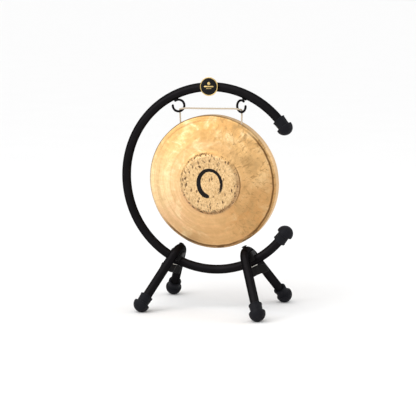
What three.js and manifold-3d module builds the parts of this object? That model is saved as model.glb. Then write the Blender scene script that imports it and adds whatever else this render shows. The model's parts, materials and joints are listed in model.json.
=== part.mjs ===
// Tam tam gong hanging in a C-shaped tube stand.
// Millimetres, +Z up, front of the gong towards -Y. The origin is on the floor, under the
// middle of the outline seen from above.
import * as THREE from 'three';
import { mergeVertices } from 'three/addons/utils/BufferGeometryUtils.js';
import Module from 'manifold-3d';

const wasm = await Module();
wasm.setup();

// ---- driving dimensions -------------------------------------------------------------------
const GAP = 0.3;                 // clearance kept between touching pieces
const TUBE_RADIUS = 11.1;        // 22.2 mm (7/8 in) steel tube
const TUBE_WALL = 1.5;
const HOOP_RADIUS = 223.7;       // centreline of the C-shaped hoop
const HOOP_TURN = 1.1;           // degrees that the hoop sits turned in its legs
const HOOP_OPENING = 35;         // degrees from the hoop's side to each tip, up and down
const FOOT_DROP = 299;           // hoop centre down to the centre of each foot's dome

const TIP_RADIUS = 19.9;         // dome of the rubber tips
const TIP_FLAT = 0.5;            // depth worn flat where a foot stands on the floor
const TIP_COLLAR_RADIUS = 15.4;
const TIP_LENGTH = 24;           // dome centre to the open end of the collar
const TIP_SEAT = 3.4;            // dome centre to the end of the tube inside

const LEG_ANGLE = 26.1;          // degrees from straight down to each leg's plane
const LEG_SPREAD = 34;           // degrees of each arm from the leg's middle line
const LEG_BEND_RADIUS = 43;
const LEG_SEAT = 28.5;           // hoop centreline to leg centreline at the crossing

const BOLT_RADIUS = 4;           // M8
const SADDLE_LENGTH = 31;        // along the hoop
const SADDLE_WIDTH = 28.8;
const SADDLE_HEIGHT = 23;
const BOLT_HEAD_RADIUS = 7;
const BOLT_HEAD_HEIGHT = 3;
const BOLT_END = 24.5;           // hoop centreline to the bolt's free end
const WASHER_RADIUS = 11;
const WASHER_THICKNESS = 1.6;
const KNOB_REACH = 30;           // axis to the end of each wing
const KNOB_RISE = 7;             // how far each wing's end is swept away from the hoop
const KNOB_WING = 11;            // thickness of the wings
const KNOB_HUB_RADIUS = 11.5;
const KNOB_HEIGHT = 22;
const KNOB_TURN = { left: -50, right: -20 };   // degrees that the tightened wings stand turned
const INSERT_RADIUS = 6;
const INSERT_HEIGHT = 12.5;

const HOOK_ANGLE = 24.25;        // degrees from straight up to each hook
const HOOK_STATION = 194.9;      // hoop centre to hook ring centre
const HOOK_FORWARD = 4;          // ring centre in front of the hoop's plane
const HOOK_RADIUS = 14.2;        // centreline of the ring
const HOOK_WIRE_RADIUS = 2.8;
const HOOK_TOE = 28;             // degrees that each ring's open side is turned forward
const HOOK_START = 124;          // degrees round the left ring where its wire is welded on
const HOOK_SWEEP = 306;
const HANG_SHIFT = -2.5;         // X from the hoop centre to the middle between the hooks

const BADGE_RADIUS = 22.5;
const BADGE_STATION = 225;       // hoop centre to badge centre
const BADGE_BACK = -14.4;        // Y of the badge's flat back

const GONG_RADIUS = 164.7;
const GONG_EDGE_RADIUS = 158;    // crease between the face and the shoulder
const GONG_DEPTH = 29;           // crease to the free edge of the rim
const GONG_DISC_RADIUS = 70;     // flat raised middle
const GONG_DISC_FOOT = 78;
const GONG_DISC_RISE = 8;
const GONG_CONE_RISE = 13;
const GONG_FACE_WALL = 1.2;
const GONG_RIM_WALL = 2.2;
const GONG_CENTRE_Z = -9.4;      // below the hoop centre
const GONG_HOLE_DEPTH = 7.5;     // crease to the cord holes in the rim
const GONG_HOLE_RADIUS = 3.6;
const GONG_LEAN = 2.89;          // degrees that the gong leans so its weight hangs under the holes
const GONG_TWIST = -2;           // degrees that the gong hangs turned on its two strands

const CORD_RADIUS = 2.1;
const CORD_BEHIND = 6.8;         // hook ring's centre back to each hanging strand
const KNOT_RADIUS = 5;
const KNOT_DROP = 8;             // middle of the rim's wall at the hole to the knot's middle
const STRAND_START = -13.9;      // top of each hanging strand, from its hook ring's centre

const TUBE_SIDES = 12;
const CORD_SIDES = 8;

// ---- materials ------------------------------------------------------------------------------
const material = (color, roughness, metalness) =>
  new THREE.MeshStandardMaterial({ color, roughness, metalness });
const blackPaint = material(0x161518, 0.35, 0.0);
const blackRubber = material(0x18181c, 0.75, 0.0);
const blackPlastic = material(0x141414, 0.5, 0.0);
const zincSteel = material(0xb9b4a8, 0.35, 1.0);
const goldPlate = material(0xc9a24a, 0.3, 1.0);
const blackEnamel = material(0x0b0b0c, 0.25, 0.0);
const bronze = material(0xd9a860, 0.35, 1.0);
const cottonCord = material(0xe6dccb, 0.95, 0.0);

// ---- helpers --------------------------------------------------------------------------------
const rad = THREE.MathUtils.degToRad;

/** Turns a closed three.js geometry into a manifold solid. */
function solid(geometry) {
  const bare = geometry.index ? geometry.toNonIndexed() : geometry.clone();
  bare.deleteAttribute('normal');
  bare.deleteAttribute('uv');
  const merged = mergeVertices(bare, 1e-4);
  return new wasm.Manifold(new wasm.Mesh({
    numProp: 3,
    vertProperties: new Float32Array(merged.attributes.position.array),
    triVerts: new Uint32Array(merged.index.array),
  }));
}

/** Turns a manifold solid back into a three.js geometry. */
function geometryOf(manifold) {
  const mesh = manifold.getMesh();
  const geometry = new THREE.BufferGeometry();
  geometry.setAttribute('position', new THREE.BufferAttribute(mesh.vertProperties, 3));
  geometry.setIndex(new THREE.BufferAttribute(mesh.triVerts, 1));
  geometry.computeVertexNormals();
  return geometry;
}

/** Cuts the tool solids out of a geometry. */
function cut(geometry, ...tools) {
  let body = solid(geometry);
  for (const tool of tools) {
    body = body.subtract(solid(tool));
  }
  return geometryOf(body);
}

/** Radius of a faceted cutting tool that leaves at least the gap round a radius. */
const clear = (radius, sides) => (radius + GAP) / Math.cos(Math.PI / sides);

/** Round outline, with a round hole where an inner radius is given. */
function ringShape(outer, inner, sides) {
  const circle = (radius) => {
    const points = [];
    for (let i = 0; i < sides; i += 1) {
      const angle = (2 * Math.PI * i) / sides;
      points.push(new THREE.Vector2(radius * Math.cos(angle), radius * Math.sin(angle)));
    }
    return points;
  };
  const shape = new THREE.Shape(circle(outer));
  if (inner > 0) {
    shape.holes.push(new THREE.Path(circle(inner)));
  }
  return shape;
}

/** Sweeps a round or hollow section along a curve in a number of steps. */
function sweep(curve, steps, outer, inner = 0, sides = TUBE_SIDES) {
  const shape = ringShape(outer, inner, sides);
  return new THREE.ExtrudeGeometry(shape, { steps, extrudePath: curve, curveSegments: 1 });
}

/** Cylinder along local Z between two heights. */
function rod(radius, from, to, sides = 24) {
  const geometry = new THREE.CylinderGeometry(radius, radius, to - from, sides);
  geometry.rotateX(Math.PI / 2);
  geometry.translate(0, 0, (from + to) / 2);
  return geometry;
}

/** Solid of revolution about local Z from [radius, height] pairs. */
function turned(profile, segments) {
  const points = profile.map(([radius, height]) => new THREE.Vector2(radius, height));
  const geometry = new THREE.LatheGeometry(points, segments);
  geometry.rotateX(Math.PI / 2);
  return geometry;
}

/** Points of an arc in [radius, height] form, from one angle to another in degrees. */
function arcPoints(centreR, centreH, radius, from, to, steps) {
  const points = [];
  for (let i = 0; i <= steps; i += 1) {
    const angle = rad(from + ((to - from) * i) / steps);
    points.push([centreR + radius * Math.cos(angle), centreH + radius * Math.sin(angle)]);
  }
  return points;
}

function addMesh(parent, name, geometry, look) {
  const mesh = new THREE.Mesh(geometry, look);
  mesh.name = name;
  parent.add(mesh);
  return mesh;
}

/** Arc of a circle in the XZ plane, from one angle to another in degrees. */
class UprightArc extends THREE.Curve {
  constructor(radius, from, to) {
    super();
    this.radius = radius;
    this.from = from;
    this.to = to;
  }

  getPoint(t) {
    const angle = rad(this.from + (this.to - this.from) * t);
    return new THREE.Vector3(this.radius * Math.cos(angle), 0, this.radius * Math.sin(angle));
  }
}

/** Centreline of a leg in the YZ plane: arm, bend over the hoop, arm. Z points away from the hoop centre. */
class LegLine extends THREE.Curve {
  constructor(armLength, bendSteps) {
    super();
    this.armLength = armLength;
    this.pieces = bendSteps + 2;
  }

  getPoint(t) {
    const turn = rad(90 - LEG_SPREAD);
    const step = t * this.pieces;
    const onBend = THREE.MathUtils.clamp((step - 1) / (this.pieces - 2), 0, 1);
    const angle = turn * (2 * onBend - 1);
    const point = new THREE.Vector3(
      0,
      LEG_BEND_RADIUS * Math.sin(angle),
      LEG_BEND_RADIUS * (1 - Math.cos(angle)) - LEG_SEAT,
    );
    const beyond = Math.max(1 - step, step - (this.pieces - 1), 0) * this.armLength;
    const side = Math.sign(angle);
    point.y += side * beyond * Math.sin(rad(LEG_SPREAD));
    point.z += beyond * Math.cos(rad(LEG_SPREAD));
    return point;
  }

  getPointAt(u) {
    return this.getPoint(u);
  }

  getTangentAt(u, target) {
    return this.getTangent(u, target);
  }
}

// ---- frames ---------------------------------------------------------------------------------
const tamTamGong = new THREE.Group();
const hoopFrame = new THREE.Group();   // origin at the hoop centre, XZ is the hoop's plane
hoopFrame.position.z = FOOT_DROP + TIP_RADIUS - TIP_FLAT;
hoopFrame.rotation.y = -rad(HOOP_TURN);
tamTamGong.add(hoopFrame);

/** Group on the hoop's centreline with local +Z pointing straight out from the hoop centre. */
function stationOnHoop(angle, radius = HOOP_RADIUS) {
  const station = new THREE.Group();
  station.position.set(radius * Math.cos(rad(angle)), 0, radius * Math.sin(rad(angle)));
  station.rotation.y = rad(90 - angle);
  hoopFrame.add(station);
  return station;
}

/** Matrix that takes points of the hoop frame into a station's own frame. */
function intoStation(station) {
  station.updateMatrix();
  return station.matrix.clone().invert();
}

const legAngles = { left: -90 - LEG_ANGLE, right: -90 + LEG_ANGLE };
const sideSign = { left: -1, right: 1 };

// ---- hoop and rubber tips -------------------------------------------------------------------
const seatAngle = THREE.MathUtils.radToDeg(TIP_SEAT / HOOP_RADIUS);

/** Solid bar along the hoop that cuts room for the hoop tube in a neighbour. */
function hoopRoom(from, to, steps) {
  return sweep(new UprightArc(HOOP_RADIUS, from, to), steps, clear(TUBE_RADIUS, TUBE_SIDES));
}

function makeHoop() {
  const line = new UprightArc(HOOP_RADIUS, HOOP_OPENING + seatAngle, 360 - HOOP_OPENING - seatAngle);
  const tube = sweep(line, 50, TUBE_RADIUS, TUBE_RADIUS - TUBE_WALL);
  const drills = Object.values(legAngles).map((angle) => {
    const drill = rod(BOLT_RADIUS + GAP, -TUBE_RADIUS - 2, TUBE_RADIUS + 2, 16);
    const station = stationOnHoop(angle);
    station.updateMatrix();
    hoopFrame.remove(station);
    return drill.applyMatrix4(station.matrix);
  });
  addMesh(hoopFrame, 'hoop_tube', cut(tube, ...drills), blackPaint);
}

/** Rubber tip about local Z: dome centre at the origin, open end of the collar up. */
function tipBlank() {
  const lip = TIP_COLLAR_RADIUS + 0.7;
  return turned([
    ...arcPoints(0, 0, TIP_RADIUS, -90, 0, 6),
    [TIP_RADIUS - 0.4, 1.6],
    [TIP_RADIUS - 2.2, 2.4],
    [TIP_COLLAR_RADIUS - 0.8, 3.6],
    [TIP_COLLAR_RADIUS, TIP_LENGTH - 3.4],
    [lip, TIP_LENGTH - 3],
    [lip, TIP_LENGTH - 0.6],
    [lip - 0.8, TIP_LENGTH],
    [0, TIP_LENGTH],
  ], 16);
}

function makeEndCap(name, angle, towardsTube) {
  const station = stationOnHoop(angle);
  const blank = tipBlank();
  blank.rotateY(towardsTube * Math.PI / 2);
  const first = angle - towardsTube * THREE.MathUtils.radToDeg((TIP_SEAT - GAP) / HOOP_RADIUS);
  const last = angle - towardsTube * THREE.MathUtils.radToDeg((TIP_LENGTH + 6) / HOOP_RADIUS);
  const room = hoopRoom(first, last, 8).applyMatrix4(intoStation(station));
  addMesh(station, name, cut(blank, room), blackRubber);
}

// ---- legs, feet and clamps ------------------------------------------------------------------
/** Length of each straight arm that brings a leg's feet down to the floor. */
function armLength(angle) {
  const slope = Math.cos(rad(90 + angle + HOOP_TURN));
  const reach = FOOT_DROP / slope - HOOP_RADIUS + LEG_SEAT;
  const bendReach = LEG_BEND_RADIUS * (1 - Math.sin(rad(LEG_SPREAD)));
  return (reach - bendReach) / Math.cos(rad(LEG_SPREAD));
}

function makeLeg(side, station, length) {
  const tube = sweep(new LegLine(length - TIP_SEAT, 12), 14, TUBE_RADIUS, TUBE_RADIUS - TUBE_WALL);
  const drill = rod(BOLT_RADIUS + GAP, -LEG_SEAT - TUBE_RADIUS - 2, -LEG_SEAT + TUBE_RADIUS + 2, 16);
  addMesh(station, `leg_${side}`, cut(tube, drill), blackPaint);
}

function makeFoot(name, station, length, back) {
  const spread = rad(LEG_SPREAD);
  const blank = tipBlank();
  const room = rod(clear(TUBE_RADIUS, 18), TIP_SEAT - GAP, TIP_LENGTH + 2, 18);
  const foot = cut(blank, room);
  foot.rotateX(back * (Math.PI - spread));
  foot.translate(
    0,
    back * (LEG_BEND_RADIUS * Math.cos(spread) + length * Math.sin(spread)),
    LEG_BEND_RADIUS * (1 - Math.sin(spread)) - LEG_SEAT + length * Math.cos(spread),
  );
  const floor = new THREE.BoxGeometry(2000, 2000, 100);
  floor.translate(0, 0, -50);
  station.updateWorldMatrix(true, false);
  floor.applyMatrix4(station.matrixWorld.clone().invert());
  addMesh(station, name, cut(foot, floor), blackRubber);
}

/** Moulded block between the leg's bend and the hoop, hollowed to fit both tubes. */
function makeSaddle(side, station, angle) {
  const block = new THREE.BoxGeometry(SADDLE_LENGTH, SADDLE_WIDTH, SADDLE_HEIGHT);
  block.translate(0, 0, -SADDLE_HEIGHT / 2);
  const hoop = hoopRoom(angle - 6, angle + 6, 4).applyMatrix4(intoStation(station));
  const leg = sweep(new LegLine(30, 12), 14, clear(TUBE_RADIUS, TUBE_SIDES));
  const drill = rod(BOLT_RADIUS + GAP, -SADDLE_HEIGHT - 5, 5, 16);
  addMesh(station, `saddle_${side}`, cut(block, hoop, leg, drill), blackPlastic);
}

function makeClampBolt(side, station) {
  const under = -LEG_SEAT - TUBE_RADIUS - GAP;
  const bolt = turned([
    [0, under - BOLT_HEAD_HEIGHT],
    [BOLT_HEAD_RADIUS * 0.55, under - BOLT_HEAD_HEIGHT * 0.92],
    [BOLT_HEAD_RADIUS * 0.9, under - BOLT_HEAD_HEIGHT * 0.6],
    [BOLT_HEAD_RADIUS, under - BOLT_HEAD_HEIGHT * 0.25],
    [BOLT_HEAD_RADIUS, under],
    [BOLT_RADIUS, under],
    [BOLT_RADIUS, BOLT_END - 1],
    [BOLT_RADIUS - 1, BOLT_END],
    [0, BOLT_END],
  ], 16);
  addMesh(station, `clamp_bolt_${side}`, bolt, blackPaint);
}

function makeClampWasher(side, station) {
  const low = TUBE_RADIUS + GAP;
  const washer = turned([
    [BOLT_RADIUS + GAP, low],
    [WASHER_RADIUS, low],
    [WASHER_RADIUS, low + WASHER_THICKNESS],
    [BOLT_RADIUS + GAP, low + WASHER_THICKNESS],
    [BOLT_RADIUS + GAP, low],
  ], 24);
  addMesh(station, `clamp_washer_${side}`, washer, zincSteel);
}

const knobBase = TUBE_RADIUS + GAP + WASHER_THICKNESS + GAP;

/** Outline of a wing knob seen along its bolt, a round hub between two blunt wings, drawn inset. */
function knobOutline(inset) {
  const half = KNOB_WING / 2 - inset;
  const tip = KNOB_REACH - KNOB_WING / 2;
  const hub = KNOB_HUB_RADIUS - inset;
  return [
    ...arcPoints(tip, 0, half, -90, 90, 6),
    ...arcPoints(0, 0, hub, 40, 140, 6),
    ...arcPoints(-tip, 0, half, 90, 270, 6),
    ...arcPoints(0, 0, hub, 220, 320, 6),
  ].map(([x, y]) => new THREE.Vector2(x, y));
}

function makeKnob(side, station) {
  const edge = 1.6;
  const blank = new THREE.ExtrudeGeometry(new THREE.Shape(knobOutline(edge)), {
    depth: KNOB_HEIGHT - 2 * edge,
    bevelThickness: edge,
    bevelSize: edge,
    bevelSegments: 2,
    curveSegments: 1,
  });
  const corners = blank.attributes.position;
  for (let i = 0; i < corners.count; i += 1) {
    const out = Math.max(0, Math.abs(corners.getX(i)) - KNOB_HUB_RADIUS) / (KNOB_REACH - KNOB_HUB_RADIUS);
    const taper = 1 - (0.6 * corners.getZ(i)) / KNOB_HEIGHT;
    corners.setZ(i, corners.getZ(i) + KNOB_RISE * out * taper);
  }
  blank.rotateZ(rad(KNOB_TURN[side]));
  blank.translate(0, 0, knobBase + edge);
  const pocket = rod(clear(INSERT_RADIUS, 20), knobBase - 2, knobBase + INSERT_HEIGHT + GAP, 20);
  addMesh(station, `clamp_knob_${side}`, cut(blank, pocket), blackPlastic);
}

function makeInsert(side, station) {
  const bore = BOLT_RADIUS + GAP;
  const insert = turned([
    [bore, knobBase],
    [INSERT_RADIUS, knobBase],
    [INSERT_RADIUS, knobBase + INSERT_HEIGHT],
    [bore, knobBase + INSERT_HEIGHT],
    [bore, knobBase],
  ], 20);
  addMesh(station, `knob_insert_${side}`, insert, zincSteel);
}

function makeLegSet(side) {
  const angle = legAngles[side];
  const station = stationOnHoop(angle);
  const length = armLength(angle);
  makeLeg(side, station, length);
  makeFoot(`foot_front_${side}`, station, length, -1);
  makeFoot(`foot_rear_${side}`, station, length, 1);
  makeSaddle(side, station, angle);
  makeClampBolt(side, station);
  makeClampWasher(side, station);
  makeKnob(side, station);
  makeInsert(side, station);
}

// ---- hooks ----------------------------------------------------------------------------------
const hookX = HOOK_STATION * Math.sin(rad(HOOK_ANGLE));
const hookZ = HOOK_STATION * Math.cos(rad(HOOK_ANGLE));

/** Open ring of wire welded under the hoop, its open side outward and turned forward. */
function makeHook(side) {
  const outward = sideSign[side];
  const centre = new THREE.Vector3(HANG_SHIFT + outward * hookX, -HOOK_FORWARD, hookZ);
  const start = outward < 0 ? HOOK_START : 180 - HOOK_START;
  const line = new UprightArc(HOOK_RADIUS, start, start + outward * HOOK_SWEEP);
  const ring = sweep(line, 28, HOOK_WIRE_RADIUS, 0, 8);
  ring.rotateZ(-outward * rad(HOOK_TOE));
  ring.translate(centre.x, centre.y, centre.z);
  const weld = new THREE.SphereGeometry(1, 10, 6);
  weld.scale(6, 4.2, 3.4);
  weld.rotateY(outward * rad(HOOK_ANGLE));
  const top = HOOP_RADIUS - TUBE_RADIUS + 0.4;
  const weldX = HANG_SHIFT + outward * top * Math.sin(rad(HOOK_ANGLE));
  weld.translate(weldX, centre.y * 0.8, Math.sqrt(top ** 2 - weldX ** 2));
  const angle = 90 - outward * HOOK_ANGLE;
  const body = solid(ring).add(solid(weld)).subtract(solid(hoopRoom(angle - 6, angle + 6, 4)));
  addMesh(hoopFrame, `hook_${side}`, geometryOf(body), blackPaint);
}

// ---- badge ----------------------------------------------------------------------------------
/** Round badge on the front of the hoop at the top: pad, metal bezel and enamelled face. */
function makeBadge() {
  const badge = new THREE.Group();
  badge.position.set(0, BADGE_BACK, BADGE_STATION);
  badge.rotation.x = Math.PI / 2;      // local +Z points forward, out of the badge
  hoopFrame.add(badge);
  const rim = BADGE_RADIUS - 2.2;
  addMesh(badge, 'badge_bezel', turned([
    [0, 0],
    [BADGE_RADIUS - 0.8, 0],
    [BADGE_RADIUS, 0.8],
    [BADGE_RADIUS, 2.6],
    [BADGE_RADIUS - 1.1, 3.4],
    [rim, 2.8],
    [rim, 1.2],
    [0, 1.2],
  ], 36), goldPlate);
  addMesh(badge, 'badge_face', turned([
    [0, 1.2 + GAP],
    [rim - GAP, 1.2 + GAP],
    [rim - GAP, 2.3],
    [rim * 0.6, 2.7],
    [0, 2.9],
  ], 36), blackEnamel);
  const pad = new THREE.BoxGeometry(26, 6, 15);
  pad.translate(0, BADGE_BACK + GAP + 3, HOOP_RADIUS);
  addMesh(hoopFrame, 'badge_pad', cut(pad, hoopRoom(80, 100, 8)), blackRubber);
}

// ---- gong and its cord ----------------------------------------------------------------------
// Left half of the cord's route, as [inward, back, up] from the left ring's centre.
const cordOverHook = [
  [0.9, CORD_BEHIND, -12.3],
  [0.9, 6.6, -11.1],
  [1.1, 5.4, -9.5],
  [2.4, 3.3, -8.5],
  [4.8, 1.5, -8.0],
  [8.2, 0.4, -7.3],
  [12.8, 0.0, -6.5],
  [20, 0, -6.1],
  [48, 0, -6.3],
];
const holeX = hookX - 0.9;
const strandTop = { y: CORD_BEHIND - HOOK_FORWARD, z: hookZ + STRAND_START };
const wallRadius = GONG_RADIUS - GONG_RIM_WALL / 2;
const holeZ = GONG_CENTRE_Z + Math.sqrt(wallRadius ** 2 - holeX ** 2);

/** Point below one cord hole of the gong, which hangs twisted on its strands. */
function underHole(outward, drop) {
  const reach = outward * holeX;
  return new THREE.Vector3(
    HANG_SHIFT + reach * Math.cos(rad(GONG_TWIST)),
    strandTop.y + reach * Math.sin(rad(GONG_TWIST)),
    holeZ - drop,
  );
}

function cordPoint([inward, back, up], outward) {
  const x = HANG_SHIFT + outward * (hookX - inward);
  return new THREE.Vector3(x, back - HOOK_FORWARD, hookZ + up);
}

/** The stretch of cord that lies over both hooks. */
function makeCordSpan() {
  const left = cordOverHook.map((point) => cordPoint(point, -1));
  const right = cordOverHook.map((point) => cordPoint(point, 1)).reverse();
  const middle = new THREE.Vector3(HANG_SHIFT, -HOOK_FORWARD, hookZ - 6.4);
  const line = new THREE.CatmullRomCurve3([...left, middle, ...right], false, 'centripetal');
  addMesh(hoopFrame, 'cord_span', sweep(line, 54, CORD_RADIUS, 0, CORD_SIDES), cottonCord);
}

/** One hanging strand, from behind its hook to the knot inside the rim. */
function makeStrand(side) {
  const outward = sideSign[side];
  const top = new THREE.Vector3(HANG_SHIFT + outward * holeX, strandTop.y, strandTop.z);
  const end = underHole(outward, KNOT_DROP - KNOT_RADIUS * 0.9 - GAP);
  const line = new THREE.LineCurve3(top, end);
  addMesh(hoopFrame, `cord_strand_${side}`, sweep(line, 8, CORD_RADIUS, 0, CORD_SIDES), cottonCord);
}

function makeKnot(side) {
  const knot = new THREE.SphereGeometry(KNOT_RADIUS, 10, 8);
  knot.scale(1, 1, 0.9);
  knot.translate(...underHole(sideSign[side], KNOT_DROP).toArray());
  addMesh(hoopFrame, `cord_knot_${side}`, knot, cottonCord);
}

/** Profile of the gong in [radius, depth] form, front surface outwards and inner surface back. */
function gongProfile() {
  const shoulder = GONG_RADIUS - GONG_EDGE_RADIUS;
  const face = GONG_FACE_WALL;
  const front = -GONG_CONE_RISE - GONG_DISC_RISE;
  const innerEdge = GONG_RADIUS - GONG_RIM_WALL;
  return [
    [0, front],
    [GONG_DISC_RADIUS - 3, front],
    [GONG_DISC_RADIUS, front + 0.6],
    [GONG_DISC_FOOT - 1.2, -GONG_CONE_RISE - 0.6],
    [GONG_DISC_FOOT + 1, -GONG_CONE_RISE],
    [GONG_DISC_FOOT + 30, -GONG_CONE_RISE * 0.72],
    [GONG_EDGE_RADIUS, 0],
    ...arcPoints(GONG_EDGE_RADIUS, shoulder, shoulder, -65, 0, 4),
    [GONG_RADIUS - 0.4, GONG_DEPTH * 0.6],
    [GONG_RADIUS - 0.8, GONG_DEPTH - 0.6],
    [GONG_RADIUS - 1.4, GONG_DEPTH],
    [innerEdge - 0.2, GONG_DEPTH],
    [innerEdge - 0.8, GONG_DEPTH - 0.6],
    ...arcPoints(GONG_EDGE_RADIUS, shoulder, shoulder - GONG_RIM_WALL, 0, -60, 3),
    [GONG_EDGE_RADIUS - 1.2, face + 0.3],
    [GONG_DISC_FOOT + 30, face - GONG_CONE_RISE * 0.72],
    [GONG_DISC_FOOT + 1, face - GONG_CONE_RISE],
    [GONG_DISC_FOOT - 1.6, face - GONG_CONE_RISE - 0.6],
    [GONG_DISC_RADIUS - 0.4, face + front + 0.6],
    [GONG_DISC_RADIUS - 3, face + front],
    [0, face + front],
  ];
}

function makeGong() {
  const points = gongProfile().map(([radius, depth]) => new THREE.Vector2(radius, depth));
  const bowl = new THREE.LatheGeometry(points, 60);
  const drills = [-1, 1].map((outward) => {
    const drill = rod(GONG_HOLE_RADIUS, holeZ - GONG_CENTRE_Z - 12, holeZ - GONG_CENTRE_Z + 12, 14);
    return drill.translate(outward * holeX, GONG_HOLE_DEPTH, 0);
  });
  const gong = cut(bowl, ...drills);
  gong.translate(0, -GONG_HOLE_DEPTH, GONG_CENTRE_Z - holeZ);
  const hanging = new THREE.Group();   // origin between the cord holes
  hanging.position.set(HANG_SHIFT, strandTop.y, holeZ);
  hanging.rotation.set(rad(GONG_LEAN), 0, rad(GONG_TWIST), 'ZXY');
  hoopFrame.add(hanging);
  addMesh(hanging, 'gong', gong, bronze);
}

// ---- assembly -------------------------------------------------------------------------------
makeHoop();
makeEndCap('end_cap_upper', HOOP_OPENING, -1);
makeEndCap('end_cap_lower', -HOOP_OPENING, 1);
for (const side of ['left', 'right']) {
  makeLegSet(side);
  makeHook(side);
  makeStrand(side);
  makeKnot(side);
}
makeBadge();
makeCordSpan();
makeGong();

// Brings the middle of the outline seen from above over the origin.
tamTamGong.updateMatrixWorld(true);
const outline = new THREE.Box3().setFromObject(tamTamGong, true);
hoopFrame.position.x -= (outline.min.x + outline.max.x) / 2;

export default tamTamGong;
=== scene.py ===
import json
from math import atan2, copysign, cos, degrees, hypot, pi, radians, sin, sqrt

import bmesh
import bpy
import numpy as np
from mathutils import Matrix, Vector


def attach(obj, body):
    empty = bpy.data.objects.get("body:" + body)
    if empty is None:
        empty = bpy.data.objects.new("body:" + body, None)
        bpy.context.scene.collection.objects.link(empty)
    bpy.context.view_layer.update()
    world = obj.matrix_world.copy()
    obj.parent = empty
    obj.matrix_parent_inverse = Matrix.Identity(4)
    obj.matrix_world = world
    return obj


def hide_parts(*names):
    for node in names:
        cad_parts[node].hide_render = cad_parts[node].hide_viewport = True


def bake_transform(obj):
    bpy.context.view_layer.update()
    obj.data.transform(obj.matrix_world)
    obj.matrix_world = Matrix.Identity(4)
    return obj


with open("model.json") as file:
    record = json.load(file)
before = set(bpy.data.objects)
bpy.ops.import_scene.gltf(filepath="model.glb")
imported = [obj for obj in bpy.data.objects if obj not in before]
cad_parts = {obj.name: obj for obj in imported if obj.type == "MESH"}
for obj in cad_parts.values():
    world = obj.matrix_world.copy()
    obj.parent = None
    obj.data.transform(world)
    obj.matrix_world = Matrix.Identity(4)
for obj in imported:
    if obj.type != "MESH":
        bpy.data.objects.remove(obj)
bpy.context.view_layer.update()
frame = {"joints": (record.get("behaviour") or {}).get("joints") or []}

# ---- driving dimensions of the design -------------------------------------------------------
MM = 0.001
GAP = 0.3 * MM                   # clearance between pieces that touch
TUBE_RADIUS = 11.1 * MM
TUBE_WALL = 1.5 * MM
TUBE_ROOM = 0.15 * MM            # clearance round a tube in what holds it
HOOP_RADIUS = 223.7 * MM
HOOP_OPENING = 35                # degrees from the hoop's side to each tip

TIP_RADIUS = 19.9 * MM
TIP_FLAT = 0.5 * MM
TIP_COLLAR_RADIUS = 15.4 * MM
TIP_LENGTH = 24 * MM
TIP_SEAT = 3.4 * MM

LEG_SPREAD = radians(34)
LEG_BEND_RADIUS = 43 * MM
LEG_SEAT = 28.5 * MM
SADDLE_SIZE = (31 * MM, 28.8 * MM, 23 * MM)
SADDLE_EDGE = 2.4 * MM

BOLT_RADIUS = 4 * MM
BOLT_HEAD_RADIUS = 7 * MM
BOLT_HEAD_HEIGHT = 3 * MM
BOLT_END = 24.5 * MM
SOCKET_DEPTH = 2.4 * MM          # of the hexagon in the bolt's head
SOCKET_RADIUS = 3.4 * MM
WASHER_RADIUS = 11 * MM
WASHER_THICKNESS = 1.6 * MM
KNOB_SEAT = TUBE_RADIUS + GAP + WASHER_THICKNESS + GAP
KNOB_REACH = 30 * MM             # axis to the end of each wing
KNOB_RISE = 7 * MM               # how far each wing's end is swept away from the hoop
KNOB_WING = 11 * MM              # thickness of the wings
KNOB_HUB_RADIUS = 11.5 * MM
KNOB_HEIGHT = 22 * MM
KNOB_EDGE = 2.2 * MM
KNOB_RIBS = 14                   # round the hub
KNOB_RIB_DEPTH = 0.7 * MM
KNOB_RIBBED = 9.5 * MM           # how far the ribs reach to each side
KNOB_WAIST = 0.9 * MM            # hollow in the sides of the wings
KNOB_TURN = {"left": radians(-50), "right": radians(-20)}
INSERT_RADIUS = 6 * MM
INSERT_HEIGHT = 12.5 * MM

HOOK_ANGLE = radians(24.25)
HOOK_STATION = 194.9 * MM
HOOK_FORWARD = 4 * MM
HOOK_RADIUS = 14.2 * MM
HOOK_WIRE_RADIUS = 2.8 * MM
HOOK_TOE = radians(28)
HOOK_START = 124
HOOK_SWEEP = 306
BEAD_SIZE = Vector((6.4, 4.2, 3.2)) * MM      # half sizes of the weld under the hoop
HANG_SHIFT = -2.5 * MM           # from the hoop centre to the middle between the hooks

BADGE_RADIUS = 22.5 * MM
BADGE_STATION = 225 * MM
BADGE_BACK = -14.4 * MM
BADGE_PAD = (26 * MM, 6 * MM, 15 * MM)
BADGE_RIM = 2.2 * MM             # width of the raised gold ring

GONG_RADIUS = 164.7 * MM
GONG_EDGE_RADIUS = 158 * MM
GONG_DEPTH = 29 * MM
GONG_DISC_RADIUS = 70 * MM
GONG_DISC_FOOT = 78 * MM
GONG_DISC_RISE = 8 * MM
GONG_CONE_RISE = 13 * MM
GONG_FACE_WALL = 1.2 * MM
GONG_RIM_WALL = 2.2 * MM
GONG_HOLE_DEPTH = 7.5 * MM
GONG_HOLE_RADIUS = 3.6 * MM
GONG_LEAN = radians(2.89)

CORD_RADIUS = 2.1 * MM
CORD_PITCH = 12.5 * MM           # length of one full turn of the three strands
KNOT_DROP = 8 * MM

FINE_SIDES = 64                  # round a tube or a turned piece


# ---- frames ---------------------------------------------------------------------------------
def columns(x, y, z, origin):
    """Matrix of a frame from its three axes and its origin."""
    matrix = Matrix((x, y, z)).transposed().to_4x4()
    matrix.translation = origin
    return matrix


joints = {joint["name"]: joint for joint in frame["joints"]}


def joint_axis(name):
    return Vector(joints[name]["axis"]).normalized()


def joint_place(name):
    return Vector(joints[name]["pos_m"])


ACROSS = joint_axis("cord_swing")
BACK = Vector((0, 1, 0))
UP = ACROSS.cross(BACK)
HOOP_CENTRE = joint_place("knob_turn_left") - (HOOP_RADIUS + KNOB_SEAT) * joint_axis("knob_turn_left")
HOOP = columns(ACROSS, BACK, UP, HOOP_CENTRE)


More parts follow.
